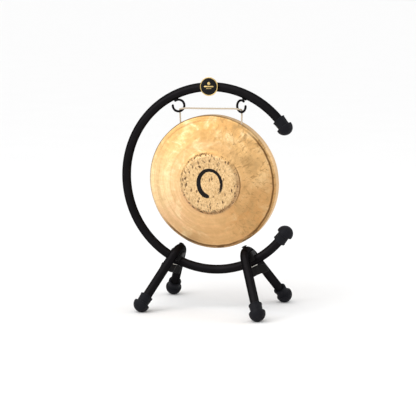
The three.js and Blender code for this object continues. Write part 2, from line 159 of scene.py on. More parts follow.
def station(outward):
    """Frame on the hoop's centreline whose Z points straight out from the hoop centre."""
    return columns(BACK.cross(outward), BACK, outward, HOOP_CENTRE + HOOP_RADIUS * outward)


def hung(x, y, z):
    """Point of the hoop's frame, with x from the middle between the hooks."""
    return HOOP @ Vector((HANG_SHIFT + x, y, z))


SIDES = {"left": -1, "right": 1}
HOOK_X = HOOK_STATION * sin(HOOK_ANGLE)
HOOK_Z = HOOK_STATION * cos(HOOK_ANGLE)
HOLE_X = HOOK_X - 0.9 * MM
GONG_HANG = sqrt((GONG_RADIUS - GONG_RIM_WALL / 2) ** 2 - HOLE_X ** 2)   # centre to holes
TILT_AXIS = joint_axis("gong_tilt")
GONG_LINE = columns(TILT_AXIS, UP.cross(TILT_AXIS), UP, joint_place("gong_tilt"))
HOLES_TO_GONG = Matrix.Translation((0, -GONG_HOLE_DEPTH, -GONG_HANG))
GONG = GONG_LINE @ Matrix.Rotation(GONG_LEAN, 4, "X") @ HOLES_TO_GONG


# ---- camera ---------------------------------------------------------------------------------
CAMERA_AZIMUTH = radians(18.54)
CAMERA_ELEVATION = radians(7.98)
CAMERA_ROLL = radians(0.4)
CAMERA_TARGET = Vector((-10.05, 0, -53.0)) * MM        # from the hoop centre
CAMERA_DISTANCE = 3.553
CAMERA_LENS = 125.83


def make_camera():
    toward = Vector((
        sin(CAMERA_AZIMUTH) * cos(CAMERA_ELEVATION),
        -cos(CAMERA_AZIMUTH) * cos(CAMERA_ELEVATION),
        sin(CAMERA_ELEVATION),
    ))
    level = Vector((cos(CAMERA_AZIMUTH), sin(CAMERA_AZIMUTH), 0))
    upright = toward.cross(level)
    right = level * cos(CAMERA_ROLL) + upright * sin(CAMERA_ROLL)
    data = bpy.data.cameras.new("camera")
    data.sensor_width = 36
    data.lens = CAMERA_LENS
    data.clip_end = 1000
    camera = bpy.data.objects.new("camera", data)
    bpy.context.scene.collection.objects.link(camera)
    place = HOOP_CENTRE + CAMERA_TARGET + CAMERA_DISTANCE * toward
    camera.matrix_world = columns(right, toward.cross(right), toward, place)
    bpy.context.scene.camera = camera


# ---- mesh helpers ---------------------------------------------------------------------------
def quads(rows, count, closed):
    """Quad faces of a grid of rings, the last ring joined to the first one if closed."""
    faces = []
    for row in range(rows if closed else rows - 1):
        here, there = row * count, (row + 1) % rows * count
        for i in range(count):
            following = (i + 1) % count
            faces.append((here + i, here + following, there + following, there + i))
    return faces


def fan(pole, first, count):
    """Triangles between a ring of vertices and the vertex that closes it."""
    return [(pole, first + i, first + (i + 1) % count) for i in range(count)]


def capped(vertices, rows, count, ends, first=0):
    """Faces of a grid of rings, from vertex first on, with a fan round an added point at both ends."""
    faces = [tuple(first + i for i in face) for face in quads(rows, count, False)]
    for row, end in zip((0, rows - 1), ends):
        faces += fan(len(vertices), first + row * count, count)
        vertices.append(end)
    return faces


def turned(profile, segments=FINE_SIDES, wave=None):
    """Solid turned about local Z from (radius, height) or (radius, height, share of the wave) points."""
    rings = [point for point in profile if point[0] > 1e-7]
    vertices = []
    for point in rings:
        for i in range(segments):
            angle = 2 * pi * i / segments
            radius = point[0] + (point[2] * wave(angle) if wave and len(point) > 2 else 0)
            vertices.append((radius * cos(angle), radius * sin(angle), point[1]))
    faces = quads(len(rings), segments, len(rings) == len(profile))
    for end, row in ((profile[0], 0), (profile[-1], len(rings) - 1)):
        if end[0] <= 1e-7:
            faces += fan(len(vertices), row * segments, segments)
            vertices.append((0, 0, end[1]))
    return vertices, faces


def rounded(points, cut, steps=4):
    """Outline with its inner corners rounded; a third number is that corner's own cut."""
    result = [Vector(points[0][:2])]
    for before, corner, after in zip(points, points[1:], points[2:]):
        a, at, b = (Vector(p[:2]) for p in (before, corner, after))
        reach = corner[2] if len(corner) > 2 else cut
        start = at + (a - at).normalized() * min(reach, (a - at).length * 0.45)
        end = at + (b - at).normalized() * min(reach, (b - at).length * 0.45)
        for i in range(steps + 1):
            t = i / steps
            result.append(start.lerp(at, t).lerp(at.lerp(end, t), t))
    result.append(Vector(points[-1][:2]))
    return [tuple(point) for point in result]


def even(points, step):
    """Array of points at even spacing along a line."""
    line = np.array([tuple(point) for point in points])
    along = np.concatenate([[0], np.cumsum(np.linalg.norm(np.diff(line, axis=0), axis=1))])
    at = np.linspace(0, along[-1], max(3, round(along[-1] / step) + 1))
    return np.stack([np.interp(at, along, column) for column in line.T], axis=1)


def arc(centre_r, centre_h, radius, start, end, steps):
    """Points of an arc in (radius, height) form, between two angles in degrees."""
    angles = [radians(start + (end - start) * i / steps) for i in range(steps + 1)]
    return [(centre_r + radius * cos(a), centre_h + radius * sin(a)) for a in angles]


def circle(radius, sides=FINE_SIDES):
    angles = [2 * pi * i / sides for i in range(sides)]
    return [(radius * cos(a), radius * sin(a)) for a in angles]


def sweep(places, outlines, closed=False):
    """Rings of outline points set at (origin, side, up) places, with the two ends closed by fans."""
    count = len(outlines[0])
    vertices = [o + a * u + b * v for (o, u, v), outline in zip(places, outlines) for a, b in outline]
    if closed:
        return vertices, quads(len(places), count, True)
    return vertices, capped(vertices, len(places), count, (places[0][0], places[-1][0]))


def pipe(places, outer, inner, sides=FINE_SIDES):
    """Hollow tube along the places."""
    outlines = [circle(outer, sides)] * len(places) + [circle(inner, sides)] * len(places)
    return sweep(places + places[::-1], outlines, closed=True)


def wire(places, radius, sides=24, cap_steps=6):
    """Solid round wire along the places, with rounded ends."""
    turns = [pi / 2 * (1 - 0.98 * i / cap_steps) for i in range(cap_steps)]
    rings = []
    for (origin, u, v), direction, order in ((places[0], -1, turns), (places[-1], 1, turns[::-1])):
        along = u.cross(v) * direction
        rings.append([((origin + along * radius * sin(a), u, v), radius * cos(a)) for a in order])
    run = rings[0] + [(place, radius) for place in places] + rings[1]
    return sweep([place for place, _ in run], [circle(r, sides) for _, r in run])


def upright_arc(radius, start, end, steps):
    """Places along an arc in the XZ plane between two angles in degrees."""
    places = []
    for i in range(steps + 1):
        angle = radians(start + (end - start) * i / steps)
        out = Vector((cos(angle), 0, sin(angle)))
        places.append((out * radius, out, Vector((0, 1, 0)) if end > start else Vector((0, -1, 0))))
    return places


def mesh_of(name, vertices, faces, sharp=38):
    mesh = bpy.data.meshes.new(name)
    mesh.from_pydata([tuple(v) for v in vertices], [], faces, shade_flat=False)
    shape = bmesh.new()
    shape.from_mesh(mesh)
    bmesh.ops.recalc_face_normals(shape, faces=shape.faces)
    shape.to_mesh(mesh)
    shape.free()
    mesh.set_sharp_from_angle(angle=radians(sharp))
    return mesh


def soft_box(name, size, middle, cut, segments):
    """Mesh of a box with rounded edges."""
    shape = bmesh.new()
    bmesh.ops.create_cube(shape, size=1)
    bmesh.ops.scale(shape, vec=size, verts=shape.verts)
    bmesh.ops.translate(shape, vec=middle, verts=shape.verts)
    bmesh.ops.bevel(shape, geom=shape.edges[:], offset=cut, segments=segments, affect="EDGES", profile=0.5)
    mesh = bpy.data.meshes.new(name)
    shape.to_mesh(mesh)
    shape.free()
    mesh.shade_smooth()
    return mesh


def piece(name, shape, look, body, nodes=(), place=None, sharp=38):
    """Adds a piece of the object that rides on a body and stands for some CAD nodes."""
    mesh = shape if isinstance(shape, bpy.types.Mesh) else mesh_of(name, *shape, sharp=sharp)
    mesh.materials.clear()
    mesh.materials.append(look)
    thing = bpy.data.objects.new(name, mesh)
    bpy.context.scene.collection.objects.link(thing)
    if place is not None:
        thing.matrix_world = place
    if body is not None:
        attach(thing, body)
    if nodes:
        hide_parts(*nodes)
    return thing


def carved(name, block, tools, sharp=38):
    """Mesh of a block with closed tool shapes cut out of it."""
    things = []
    for i, shape in enumerate([block, *tools]):
        mesh = shape if isinstance(shape, bpy.types.Mesh) else mesh_of(f"{name}_{i}", *shape)
        thing = bpy.data.objects.new(f"{name}_{i}", mesh)
        bpy.context.scene.collection.objects.link(thing)
        things.append(thing)
    for tool in things[1:]:
        modifier = things[0].modifiers.new("cut", "BOOLEAN")
        modifier.object = tool
        modifier.operation = "DIFFERENCE"
        modifier.solver = "EXACT"
    bpy.context.view_layer.update()
    block_now = things[0].evaluated_get(bpy.context.evaluated_depsgraph_get())
    result = bpy.data.meshes.new_from_object(block_now)
    result.name = name
    result.set_sharp_from_angle(angle=radians(sharp))
    for thing in things:
        bpy.data.objects.remove(thing)
    return result


# ---- materials ------------------------------------------------------------------------------
class Field:
    """Number, vector or colour that varies over a surface; arithmetic on it adds nodes."""

    def __init__(self, look, socket):
        self.look = look
        self.socket = socket

    def __add__(self, other):
        return self.look.math("ADD", self, other)

    def __sub__(self, other):
        return self.look.math("SUBTRACT", self, other)

    def __rsub__(self, other):
        return self.look.math("SUBTRACT", other, self)

    def __mul__(self, other):
        return self.look.math("MULTIPLY", self, other)

    def __abs__(self):
        return self.look.math("ABSOLUTE", self)

    def scaled(self, scale, shift):
        """The field times scale, plus shift."""
        return self.look.math("MULTIPLY_ADD", self, scale, shift)

    def most(self, other):
        """The larger of two fields."""
        return self.look.math("MAXIMUM", self, other)

    def step(self, low, high, start=0.0, end=1.0):
        """Smooth step from low to high."""
        inputs = {"Value": self, "From Min": low, "From Max": high, "To Min": start, "To Max": end}
        return self.look.add("MapRange", "Result", inputs, interpolation_type="SMOOTHSTEP")

    def fall(self, low, high):
        """Smooth step down from 1 to 0."""
        return self.step(low, high, 1.0, 0.0)

    def band(self, low, high, soft):
        """1 between low and high, fading over soft at both sides."""
        return self.step(low - soft, low) * self.fall(high, high + soft)

    def out(self, name):
        """Another output of the node this field comes from."""
        return Field(self.look, self.socket.node.outputs[name])


class Look:
    """A Principled material, with short ways to add nodes to it."""

    def __init__(self, name, **sockets):
        self.material = bpy.data.materials.new(name)
        self.material.use_nodes = True
        self.tree = self.material.node_tree
        self.shader = self.tree.nodes["Principled BSDF"]
        for socket, value in sockets.items():
            self.shader.inputs[socket.replace("_", " ")].default_value = value
        self.place = self.add("TexCoord", "Object")

    def feed(self, socket, value):
        if isinstance(value, Field):
            self.tree.links.new(value.socket, socket)
        else:
            socket.default_value = value

    def add(self, kind, output, inputs=None, **settings):
        """Adds a node and gives the field of one of its outputs."""
        node = self.tree.nodes.new("ShaderNode" + kind)
        for key, value in settings.items():
            setattr(node, key, value)
        for key, value in (inputs or {}).items():
            self.feed(node.inputs[key], value)
        return Field(self, node.outputs[output])

    def math(self, operation, a, b=0.0, c=0.0):
        return self.add("Math", 0, {0: a, 1: b, 2: c}, operation=operation)

    def vector(self, operation, a, b=(0.0, 0.0, 0.0), output=0):
        return self.add("VectorMath", output, {0: a, 1: b}, operation=operation)

    def stretched(self, scale, place=None):
        return self.vector("MULTIPLY", place or self.place, scale)

    def noise(self, scale, place=None, detail=3.0, rough=0.5, warp=0.0):
        inputs = {"Vector": place or self.place, "Scale": scale, "Detail": detail, "Roughness": rough,
                  "Distortion": warp}
        return self.add("TexNoise", "Fac", inputs)

    def cells(self, scale, feature="F1"):
        inputs = {"Vector": self.place, "Scale": scale, "Randomness": 1.0}
        return self.add("TexVoronoi", "Distance", inputs, feature=feature)

    def mix(self, share, a, b, blend_type="MIX"):
        a, b = ((*value, 1.0) if isinstance(value, tuple) else value for value in (a, b))
        return self.add("Mix", 2, {0: share, 6: a, 7: b}, data_type="RGBA", blend_type=blend_type)

    def ramp(self, share, stops):
        """Colour that changes between (position, colour) stops."""
        colours = self.add("ValToRGB", "Color", {"Fac": share})
        elements = colours.socket.node.color_ramp.elements
        for position, colour in stops[1:-1]:
            elements.new(position)
        for element, (position, colour) in zip(elements, stops):
            element.position = position
            element.color = (*colour, 1.0)
        return colours

    def finish(self, colour, roughness, *layers):
        """The material, given its colour, roughness and (height, strength, distance) layers of bump."""
        self.feed(self.shader.inputs["Base Color"], colour)
        self.feed(self.shader.inputs["Roughness"], roughness)
        inputs = {}
        for height, strength, distance in layers:
            inputs.update({"Height": height, "Strength": strength, "Distance": distance})
            inputs["Normal"] = self.add("Bump", "Normal", inputs)
        self.feed(self.shader.inputs["Normal"], inputs["Normal"])
        return self.material


def upward_dust(look):
    """Share of fine dust, on faces that look up."""
    height = look.add("SeparateXYZ", "Z", {"Vector": look.add("NewGeometry", "Normal")})
    return height.step(0.35, 1.0) * look.noise(190, detail=5).step(0.35, 0.75)


def powder_coat():
    """Semi-gloss black powder coat: fine orange peel, faint scuffs and dust."""
    look = Look("black_powder_coat", Metallic=0.75, Specular_IOR_Level=0.04, Specular_Tint=(0, 0, 0, 1))
    scuffs = look.noise(1, look.stretched((60, 60, 420)), 6, 0.62, 0.4).step(0.6, 0.74)
    worn = look.mix(look.noise(22, detail=4), (0.0066, 0.0060, 0.0066), (0.0150, 0.0136, 0.0145))
    dusty = look.mix(upward_dust(look) * 0.05, worn, (0.16, 0.15, 0.14))
    return look.finish(
        look.mix(scuffs * 0.10, dusty, (0.07, 0.065, 0.06)),
        look.noise(35, detail=5).step(0.3, 0.7, 0.30, 0.42) + scuffs * 0.12,
        (look.noise(620, detail=2), 0.16, 0.0006),
        (look.noise(95, detail=2), 0.08, 0.002),
    )


def rubber():
    """Matte moulded rubber, slightly blue, with a fine grain and a bloom of dust."""
    look = Look("moulded_black_rubber", Specular_IOR_Level=0.07)
    tone = look.mix(look.noise(55, detail=5, rough=0.6), (0.0060, 0.0060, 0.0078), (0.0125, 0.0125, 0.0155))
    return look.finish(
        look.mix(upward_dust(look) * 0.06, tone, (0.15, 0.15, 0.15)),
        look.noise(120, detail=4).step(0.25, 0.75, 0.46, 0.66),
        (look.noise(1500, detail=2), 0.28, 0.0003),
        (look.noise(140, detail=3), 0.10, 0.001),
    )


def moulded_plastic():
    """Black moulded plastic with a spark-eroded grain."""
    look = Look("grained_black_plastic", Specular_IOR_Level=0.08)
    return look.finish(
        look.mix(look.noise(70, detail=4), (0.0060, 0.0056, 0.0056), (0.0125, 0.0115, 0.0112)),
        look.noise(200, detail=4).step(0.3, 0.7, 0.36, 0.52),
        (look.cells(1300), 0.22, 0.0003),
        (look.noise(420, detail=3), 0.14, 0.0005),
    )


def zinc():
    """Zinc plated steel with fine rolling marks."""
    look = Look("zinc_plated_steel", Metallic=1.0)
    marks = look.noise(1, look.stretched((900, 90, 900)), 5, 0.6)
    colour = look.mix(marks, (0.50, 0.48, 0.43), (0.78, 0.75, 0.68))
    return look.finish(colour, marks.step(0.3, 0.7, 0.22, 0.40), (marks, 0.2, 0.0003))


def gold_plate():
    """Gold coloured plating, a little uneven in tone and dullness."""
    look = Look("gold_plate", Metallic=1.0)
    colour = look.mix(look.noise(260, detail=5, rough=0.6), (0.52, 0.36, 0.12), (0.80, 0.60, 0.27))
    roughness = look.noise(900, detail=3).step(0.3, 0.7, 0.22, 0.38)
    return look.finish(colour, roughness, (look.noise(1400, detail=2), 0.12, 0.0002))


def enamel():
    """Glossy black enamel with hairline polish marks."""
    look = Look("black_enamel", Specular_IOR_Level=0.1, Coat_Weight=0.15, Coat_Roughness=0.12)
    hairlines = look.noise(1, look.stretched((300, 300, 3000)), 4, 0.6).step(0.62, 0.72)
    colour = look.mix(hairlines * 0.3, (0.0030, 0.0030, 0.0034), (0.02, 0.02, 0.02))
    roughness = look.noise(420, detail=4).step(0.3, 0.7, 0.20, 0.32)
    return look.finish(colour, roughness, (look.noise(260, detail=2), 0.06, 0.0006))


def cotton():
    """Natural cotton yarn: soft, matte, with fibres along the strands."""
    look = Look("twisted_cotton", Specular_IOR_Level=0.2, Sheen_Weight=0.35, Sheen_Roughness=0.5)
    fibres = look.noise(1, look.stretched((2600, 2600, 1500)), 5, 0.65, 0.6)
    tone = look.mix(fibres, (0.36, 0.27, 0.18), (0.70, 0.60, 0.47))
    colour = look.mix(look.noise(160, detail=3), tone, (0.58, 0.48, 0.35))
    return look.finish(colour, fibres.step(0.3, 0.7, 0.82, 0.97), (fibres, 0.55, 0.0004))


# Brush ring on the gong's disc.
RING_START = 268                 # degrees, where the brush is set down
RING_NARROW = 1.14               # height over width
RING_RADIUS = 33.5 * MM
RING_DRIFT = 3.4 * MM            # how far the stroke moves outward from start to end
RING_HALF_WIDTH = 5.2 * MM
RING_RAGGED = 2.8 * MM           # unevenness of the stroke's edge
RING_ASIDE = 3 * MM              # right of the disc's middle


def ring_ink(look, x, z):
    """Share of black ink: one open brush stroke round the gong's middle, dry at its tail."""
    along = look.math("FRACT", look.math("ARCTAN2", z, x).scaled(-0.5 / pi, RING_START / 360 + 1))
    oval = look.add("CombineXYZ", 0, {"X": x * RING_NARROW, "Z": z})
    away = look.vector("LENGTH", oval, output="Value")
    edge = look.noise(260, detail=4, rough=0.6).scaled(RING_RAGGED, -RING_RAGGED / 2)
    centre = along.scaled(RING_DRIFT, RING_RADIUS - 1.6 * MM)
    half = look.math("SINE", along * (pi * 2.6)).scaled(1.3 * MM, RING_HALF_WIDTH)
    half = half * along.step(0.66, 0.93, 1.0, 0.38) * along.step(0.0, 0.05, 0.6, 1.0)
    body = (abs(away + edge - centre) - half).fall(-0.35 * MM, 0.35 * MM)
    combed = look.add("CombineXYZ", 0, {"X": away * 1300.0, "Y": along * 5.0})
    dry = (look.noise(1, combed, 3, 0.6) - along.step(0.52, 0.95, -0.2, 0.62)).step(-0.05, 0.03)
    return body * dry * (along.step(0.0, 0.012) * along.fall(0.885, 0.90))


# Colour of the bronze round the face, in degrees from its right side: its tone with painted light, lighter on
# the left and darker toward the right.
FACE_TONES_WITH_PAINTED_LIGHT = (
    (-180, (1.0, 0.745, 0.405)),
    (-148, (0.90, 0.585, 0.32)),
    (-90, (0.80, 0.485, 0.225)),
    (-42, (0.60, 0.315, 0.115)),
    (0, (0.63, 0.355, 0.145)),
    (42, (0.88, 0.56, 0.245)),
    (90, (0.61, 0.355, 0.128)),
    (140, (0.82, 0.55, 0.24)),
    (180, (1.0, 0.745, 0.405)),
)


class GongLook(Look):
    """Bronze material with coordinates that follow the gong's round shape."""

    def __init__(self, name, **sockets):
        super().__init__(name, **sockets)
        self.x = self.add("SeparateXYZ", "X", {"Vector": self.place})
        self.depth, self.z = self.x.out("Y"), self.x.out("Z")
        self.turn = self.math("ARCTAN2", self.z, self.x)
        flat = self.stretched((1, 0, 1))
        self.radius = self.vector("LENGTH", flat, output="Value")
        self.heading = self.vector("NORMALIZE", flat)
        facing = self.add("SeparateXYZ", "Y", {"Vector": self.add("TexCoord", "Normal")})
        self.front = facing.fall(-0.15, 0.05)

    def polar(self, round_scale, out_scale, depth_scale=0.0):
        """Coordinates that run round the gong and outward at scales of their own."""
        ahead = self.stretched((round_scale,) * 3, self.heading)
        out = self.radius.scaled(out_scale, self.depth * depth_scale)
        return self.vector("ADD", ahead, self.add("CombineXYZ", 0, {"Y": out}))

    def toward(self, degrees, low, high, start=0.0, end=1.0):
        """Smooth step toward an angle, over distances from the middle as shares of the radius."""
        angle = radians(degrees)
        along = self.x.scaled(cos(angle) / GONG_RADIUS, self.z * (sin(angle) / GONG_RADIUS))
        return along.step(low, high, start, end)

    def ring(self, radius, half_width, soft):
        """1 on a ring round the gong's middle."""
        return self.radius.band(radius - half_width, radius + half_width, soft)

    def flecks(self, wide, tall, size, least_luck, shift=0.0):
        """Scattered flecks of dark scale, each as dark as its luck."""
        swirl = self.noise(30, detail=1).scaled(0.030, -0.015)
        across = (self.x + swirl).scaled(1 / wide, shift)
        at = self.add("CombineXYZ", 0, {"X": across, "Y": self.z * (1 / tall)})
        away = self.add("TexVoronoi", "Distance", {"Vector": at, "Scale": 1.0}, voronoi_dimensions="2D")
        luck = self.add("SeparateColor", "Red", {"Color": away.out("Color")})
        ragged = self.noise(380, detail=3).scaled(0.34, -0.17)
        gap = away + ragged - luck.out("Blue").scaled(size * 0.7, size * 0.55)
        chosen = (luck - least_luck).step(0.0, 0.02)
        return gap.fall(-0.05, 0.03) * chosen * luck.out("Green").scaled(0.6, 0.4)

    def strokes(self):
        """Streaks left by hammering across the face."""
        return self.noise(1, self.polar(15, 62), 6, 0.66, 1.1)

    def blows(self):
        """Finer marks that run round the face."""
        return self.noise(1, self.polar(7, 210), 5, 0.62, 0.7)

    def grain(self):
        """Rough grain of the raised flat middle."""
        return self.noise(300, self.stretched((1, 1, 0.6)), detail=5, rough=0.72)


def face_tone(look):
    """Colour of the hammered cone: tones that change round it, with painted light (lighter on the left,
    darker toward the right), clouds that are painted shade on the right and painted highlights at the upper
    left, and hammered streaks.
    """
    around = look.turn.scaled(0.5 / pi, 0.5) + look.noise(13, detail=3).scaled(0.20, -0.10)
    # Tones round the face, partly painted light: lighter on the left, darker toward the right.
    tone = look.ramp(around, [((angle + 180) / 360, colour) for angle, colour in FACE_TONES_WITH_PAINTED_LIGHT])
    inner = look.radius.band(80 * MM, 105 * MM, 4 * MM) * look.toward(150, -0.6, 0.5, 0.30, 0.50)
    tone = look.mix(inner, tone, (0.80, 0.50, 0.235))
    outer = look.radius.band(136 * MM, 157 * MM, 7 * MM) * look.toward(95, 0.25, 0.9, 0.0, 0.75)
    tone = look.mix(outer, tone, (0.76, 0.43, 0.155))
    # Mask of the face's right side: the dark clouds on it are painted shade, and the hammered streaks gather
    # there.
    worn = look.toward(8, -0.15, 0.55, 0.12, 0.66)
    cloud = look.noise(24, detail=6, rough=0.62, warp=0.6)
    tone = look.mix(cloud.step(0.52, 0.34) * worn, tone, (0.46, 0.285, 0.12))
    # Painted highlight: light clouds toward the upper left.
    painted_highlight = cloud.step(0.50, 0.68) * look.toward(150, -0.9, 0.6, 0.25, 0.75)
    tone = look.mix(painted_highlight, tone, (1.0, 0.82, 0.49))
    rings = look.noise(1, look.polar(0.5, 150), 3, 0.6).step(0.44, 0.62)
    tone = look.mix(rings * 0.34, tone, (0.60, 0.36, 0.14))
    streaks = look.strokes().step(0.50, 0.66) * worn * worn * look.radius.step(0.0, 0.01, 0.0, 2.2)
    tone = look.mix(streaks, tone, (0.42, 0.25, 0.10))
    tone = look.mix(look.blows().step(0.46, 0.72, 0.0, 0.34), tone, (0.58, 0.35, 0.15))
    cracks = abs(look.noise(1, look.polar(34, 16), 3, 0.55, 0.8) - 0.5)
    crackle = cracks.fall(0.0, 0.022) * look.toward(-160, 0.25, 0.8, 0.05, 0.34)
    return look.mix(crackle, tone, (0.60, 0.37, 0.18))


def disc_tone(look, tone):
    """Colour of the raised flat middle and its bevel, without the scale, with painted shade on the bevel's
    lower right side and in the crease at its foot on the right.
    """
    flat = look.radius.fall(GONG_DISC_RADIUS - 1 * MM, GONG_DISC_RADIUS + 4 * MM)
    plain = look.mix(look.grain().step(0.36, 0.62), (0.62, 0.40, 0.19), (0.90, 0.64, 0.345))
    shade = look.mix(look.noise(30, detail=3), (0.86, 0.84, 0.80), (1.0, 1.0, 1.0))
    tone = look.mix(flat * 0.92, tone, look.mix(0.8, plain, shade, "MULTIPLY"))
    bevel = look.radius.band(GONG_DISC_RADIUS + 2 * MM, GONG_DISC_FOOT - 1 * MM, 1.5 * MM)
    # Painted shade on the bevel's lower right side.
    tone = look.mix(bevel * look.toward(-40, 0.0, 0.40, 0.05, 0.8), tone, (0.62, 0.40, 0.21))
    notches = look.noise(1, look.polar(30, 50), 3, 0.5).step(0.50, 0.60)
    tone = look.mix(bevel * notches * look.toward(-40, -0.3, 0.4, 0.10, 0.62), tone, (0.37, 0.215, 0.09))
    # Painted shade in the crease at the disc's foot, on the right side.
    crease = look.ring(GONG_DISC_FOOT + 0.6 * MM, 0.5 * MM, 1.3 * MM) * look.toward(2, 0.34, 0.47)
    return look.mix(crease * 0.85, tone, (0.16, 0.075, 0.025))


def scale_flecks(look):
    """Dark hammer scale: upright flecks on the disc, crowded toward its edge."""
    crowd = look.radius.step(34 * MM, 68 * MM, 0.60, 0.16)
    luck = crowd + look.toward(0, 0.05, 0.35, 0.0, 0.30)
    large = look.flecks(7.4 * MM, 14.5 * MM, 0.27, luck)
    small = look.flecks(4.4 * MM, 8.2 * MM, 0.22, luck + 0.12, 7.3)
    upright = abs(look.z * (1 / GONG_DISC_RADIUS))
    edge_luck = upright.step(0.55, 0.95, 0.78, 0.30).most(look.toward(0, 0.0, 0.3, 0.30, 0.80))
    edge = look.flecks(6.2 * MM, 9.0 * MM, 0.38, edge_luck, 3.1)
    edge = edge * look.ring(GONG_DISC_RADIUS + 3 * MM, 4 * MM, 2 * MM)
    inside = look.radius.fall(GONG_DISC_FOOT - 3 * MM, GONG_DISC_FOOT - 1 * MM)
    return large.most(small * 0.62).most(edge) * inside * look.front


def edge_tone(look, tone):
    """Painted shade in the edge's crease, as a dark line on the right and at the bottom, darker patches low
    on the rim, a painted shadow along the left edge, and the rim with its turning marks.
    """
    ragged = look.noise(1, look.polar(9, 0), 4, 0.6).scaled(3.6 * MM, -1.8 * MM)
    # Painted shade: a dark line in the crease round the face's edge, on the right and at the bottom.
    line = (look.radius + ragged).band(156.8 * MM, 159.6 * MM, 1.6 * MM)
    line = line * look.toward(-4, 0.38, 0.76).most(look.toward(-100, 0.62, 0.86))
    line = line * look.depth.fall(3.5 * MM, 6.0 * MM)
    tone = look.mix(line * 0.86, tone, (0.13, 0.058, 0.018))
    patches = look.noise(1, look.polar(5, 0), 3, 0.6).step(0.50, 0.62)
    low = look.ring(161 * MM, 1.2 * MM, 1.4 * MM) * patches * look.toward(-90, 0.55, 0.85)
    tone = look.mix(low * 0.75, tone, (0.12, 0.055, 0.018))
    # Painted shadow along the left edge of the rim.
    left_edge_shadow = look.radius.step(161.6 * MM, 163.8 * MM) * look.toward(170, -0.9, 0.2)
    tone = look.mix(left_edge_shadow * 0.72, tone, (0.17, 0.085, 0.03))
    lathe = look.noise(1, look.polar(1.6, 0, 900), 4, 0.65).step(0.36, 0.66)
    banded = look.mix(lathe, (0.66, 0.43, 0.205), (0.90, 0.645, 0.37))
    return look.mix(look.depth.step(3.0 * MM, 6.5 * MM, 0.0, 0.80), tone, banded)


def bronze():
    """Hammered bronze gong: the face's tones with painted light, dark scale, creases with painted shade, and
    the brushed ring.
    """
    look = GongLook("hammered_bronze", Anisotropic=0.25, Specular_IOR_Level=0.15)
    cone = look.radius.step(77 * MM, 80 * MM) * look.radius.fall(156 * MM, 160 * MM)
    disc = look.radius.fall(GONG_DISC_RADIUS, GONG_DISC_FOOT)
    scale = scale_flecks(look)
    tone = edge_tone(look, disc_tone(look, face_tone(look)))
    tone = look.mix(scale * 0.95, tone, (0.075, 0.034, 0.015))
    ink = ring_ink(look, look.x - RING_ASIDE, look.z) * look.front * disc
    dull = ink.most(scale * 0.8)
    look.feed(look.shader.inputs["Metallic"], 1.0 - dull)
    polish = look.noise(75, detail=5, rough=0.6).step(0.3, 0.7, 0.44, 0.56)
    beads = look.math("SINE", look.turn * 310.0).scaled(0.5, 0.5)
    beads = beads * look.ring(153.3 * MM, 1.3 * MM, 1 * MM) * look.toward(140, 0.45, 0.85)
    return look.finish(
        look.mix(ink, tone, (0.0070, 0.0055, 0.0055)),
        dull.scaled(0.25, polish),
        (look.strokes(), 0.34, 0.0012),
        (look.blows(), 0.24, 0.0006),
        (look.cells(105, "SMOOTH_F1") * cone, 0.30, 0.0018),
        (look.grain() * disc, 0.55, 0.0006),
        (scale, -0.7, 0.0005),
        (beads, 0.7, 0.0007),
    )


def pale_floor():
    """Plain floor, near white, with a barely visible unevenness."""
    look = Look("pale_floor", Roughness=0.9, Specular_IOR_Level=0.1)
    colour = look.mix(look.noise(3, detail=2), (0.86, 0.86, 0.86), (0.88, 0.88, 0.88))
    look.feed(look.shader.inputs["Base Color"], colour)
    return look.material


# ---- cord -----------------------------------------------------------------------------------
# Left half of the cord's route, as (inward, back, up) in mm from the left hook ring's centre.
CORD_OVER_HOOK = [
    (0.9, 6.8, -12.3),
    (0.9, 6.6, -11.1),
    (1.1, 5.4, -9.5),
    (2.4, 3.3, -8.5),
    (4.8, 1.5, -8.0),
    (8.2, 0.4, -7.3),
    (12.8, 0.0, -6.5),
    (20, 0, -6.1),
    (48, 0, -6.3),
]
CORD_MIDDLE_UP = -6.4
CORD_BEHIND = 6.8                # strand behind the hook ring's plane, mm
STRAND_TOP_UP = -13.9
CORD_STEP = 0.45 * MM            # between the cord's cross-sections


def centripetal(points, steps):
    """Smooth line through points, as close pieces of a centripetal Catmull-Rom curve."""
    ends = [2 * points[0] - points[1], *points, 2 * points[-1] - points[-2]]
    line = []
    for a, b, c, d in zip(ends, ends[1:], ends[2:], ends[3:]):
        ta, tb = 0.0, (b - a).length ** 0.5
        tc = tb + (c - b).length ** 0.5
        td = tc + (d - c).length ** 0.5
        for i in range(steps):
            t = tb + (tc - tb) * i / steps
            ab = a.lerp(b, (t - ta) / (tb - ta))
            bc = b.lerp(c, (t - tb) / (tc - tb))
            cd = c.lerp(d, (t - tc) / (td - tc))
            abc = ab.lerp(bc, (t - ta) / (tc - ta))
            bcd = bc.lerp(cd, (t - tb) / (td - tb))
            line.append(abc.lerp(bcd, (t - tb) / (tc - tb)))
    return line + [points[-1]]


def respaced(points, spacing):
    """The same line with points at even spacing."""
    return [Vector(point) for point in even(points, spacing)]


def carried_frames(points):
    """Places along a line whose side direction turns as little as it can."""
    places = []
    side = (points[1] - points[0]).orthogonal().normalized()
    for i, point in enumerate(points):
        ahead = (points[min(i + 1, len(points) - 1)] - points[max(i - 1, 0)]).normalized()
        side = (side - ahead * side.dot(ahead)).normalized()
        places.append((point, side, ahead.cross(side)))
    return places


def strand_section(turn, radius, sides=30):
    """Outline of three yarn strands twisted together, turned by an angle."""
    strand, off = radius * 0.54, radius * 0.46
    outline = []
    for i in range(sides):
        angle = 2 * pi * i / sides
        from_strand = (angle - turn + pi / 3) % (2 * pi / 3) - pi / 3
        reach = off * cos(from_strand) + sqrt(strand ** 2 - (off * sin(from_strand)) ** 2)
        outline.append((reach * cos(angle), reach * sin(angle)))
    return outline


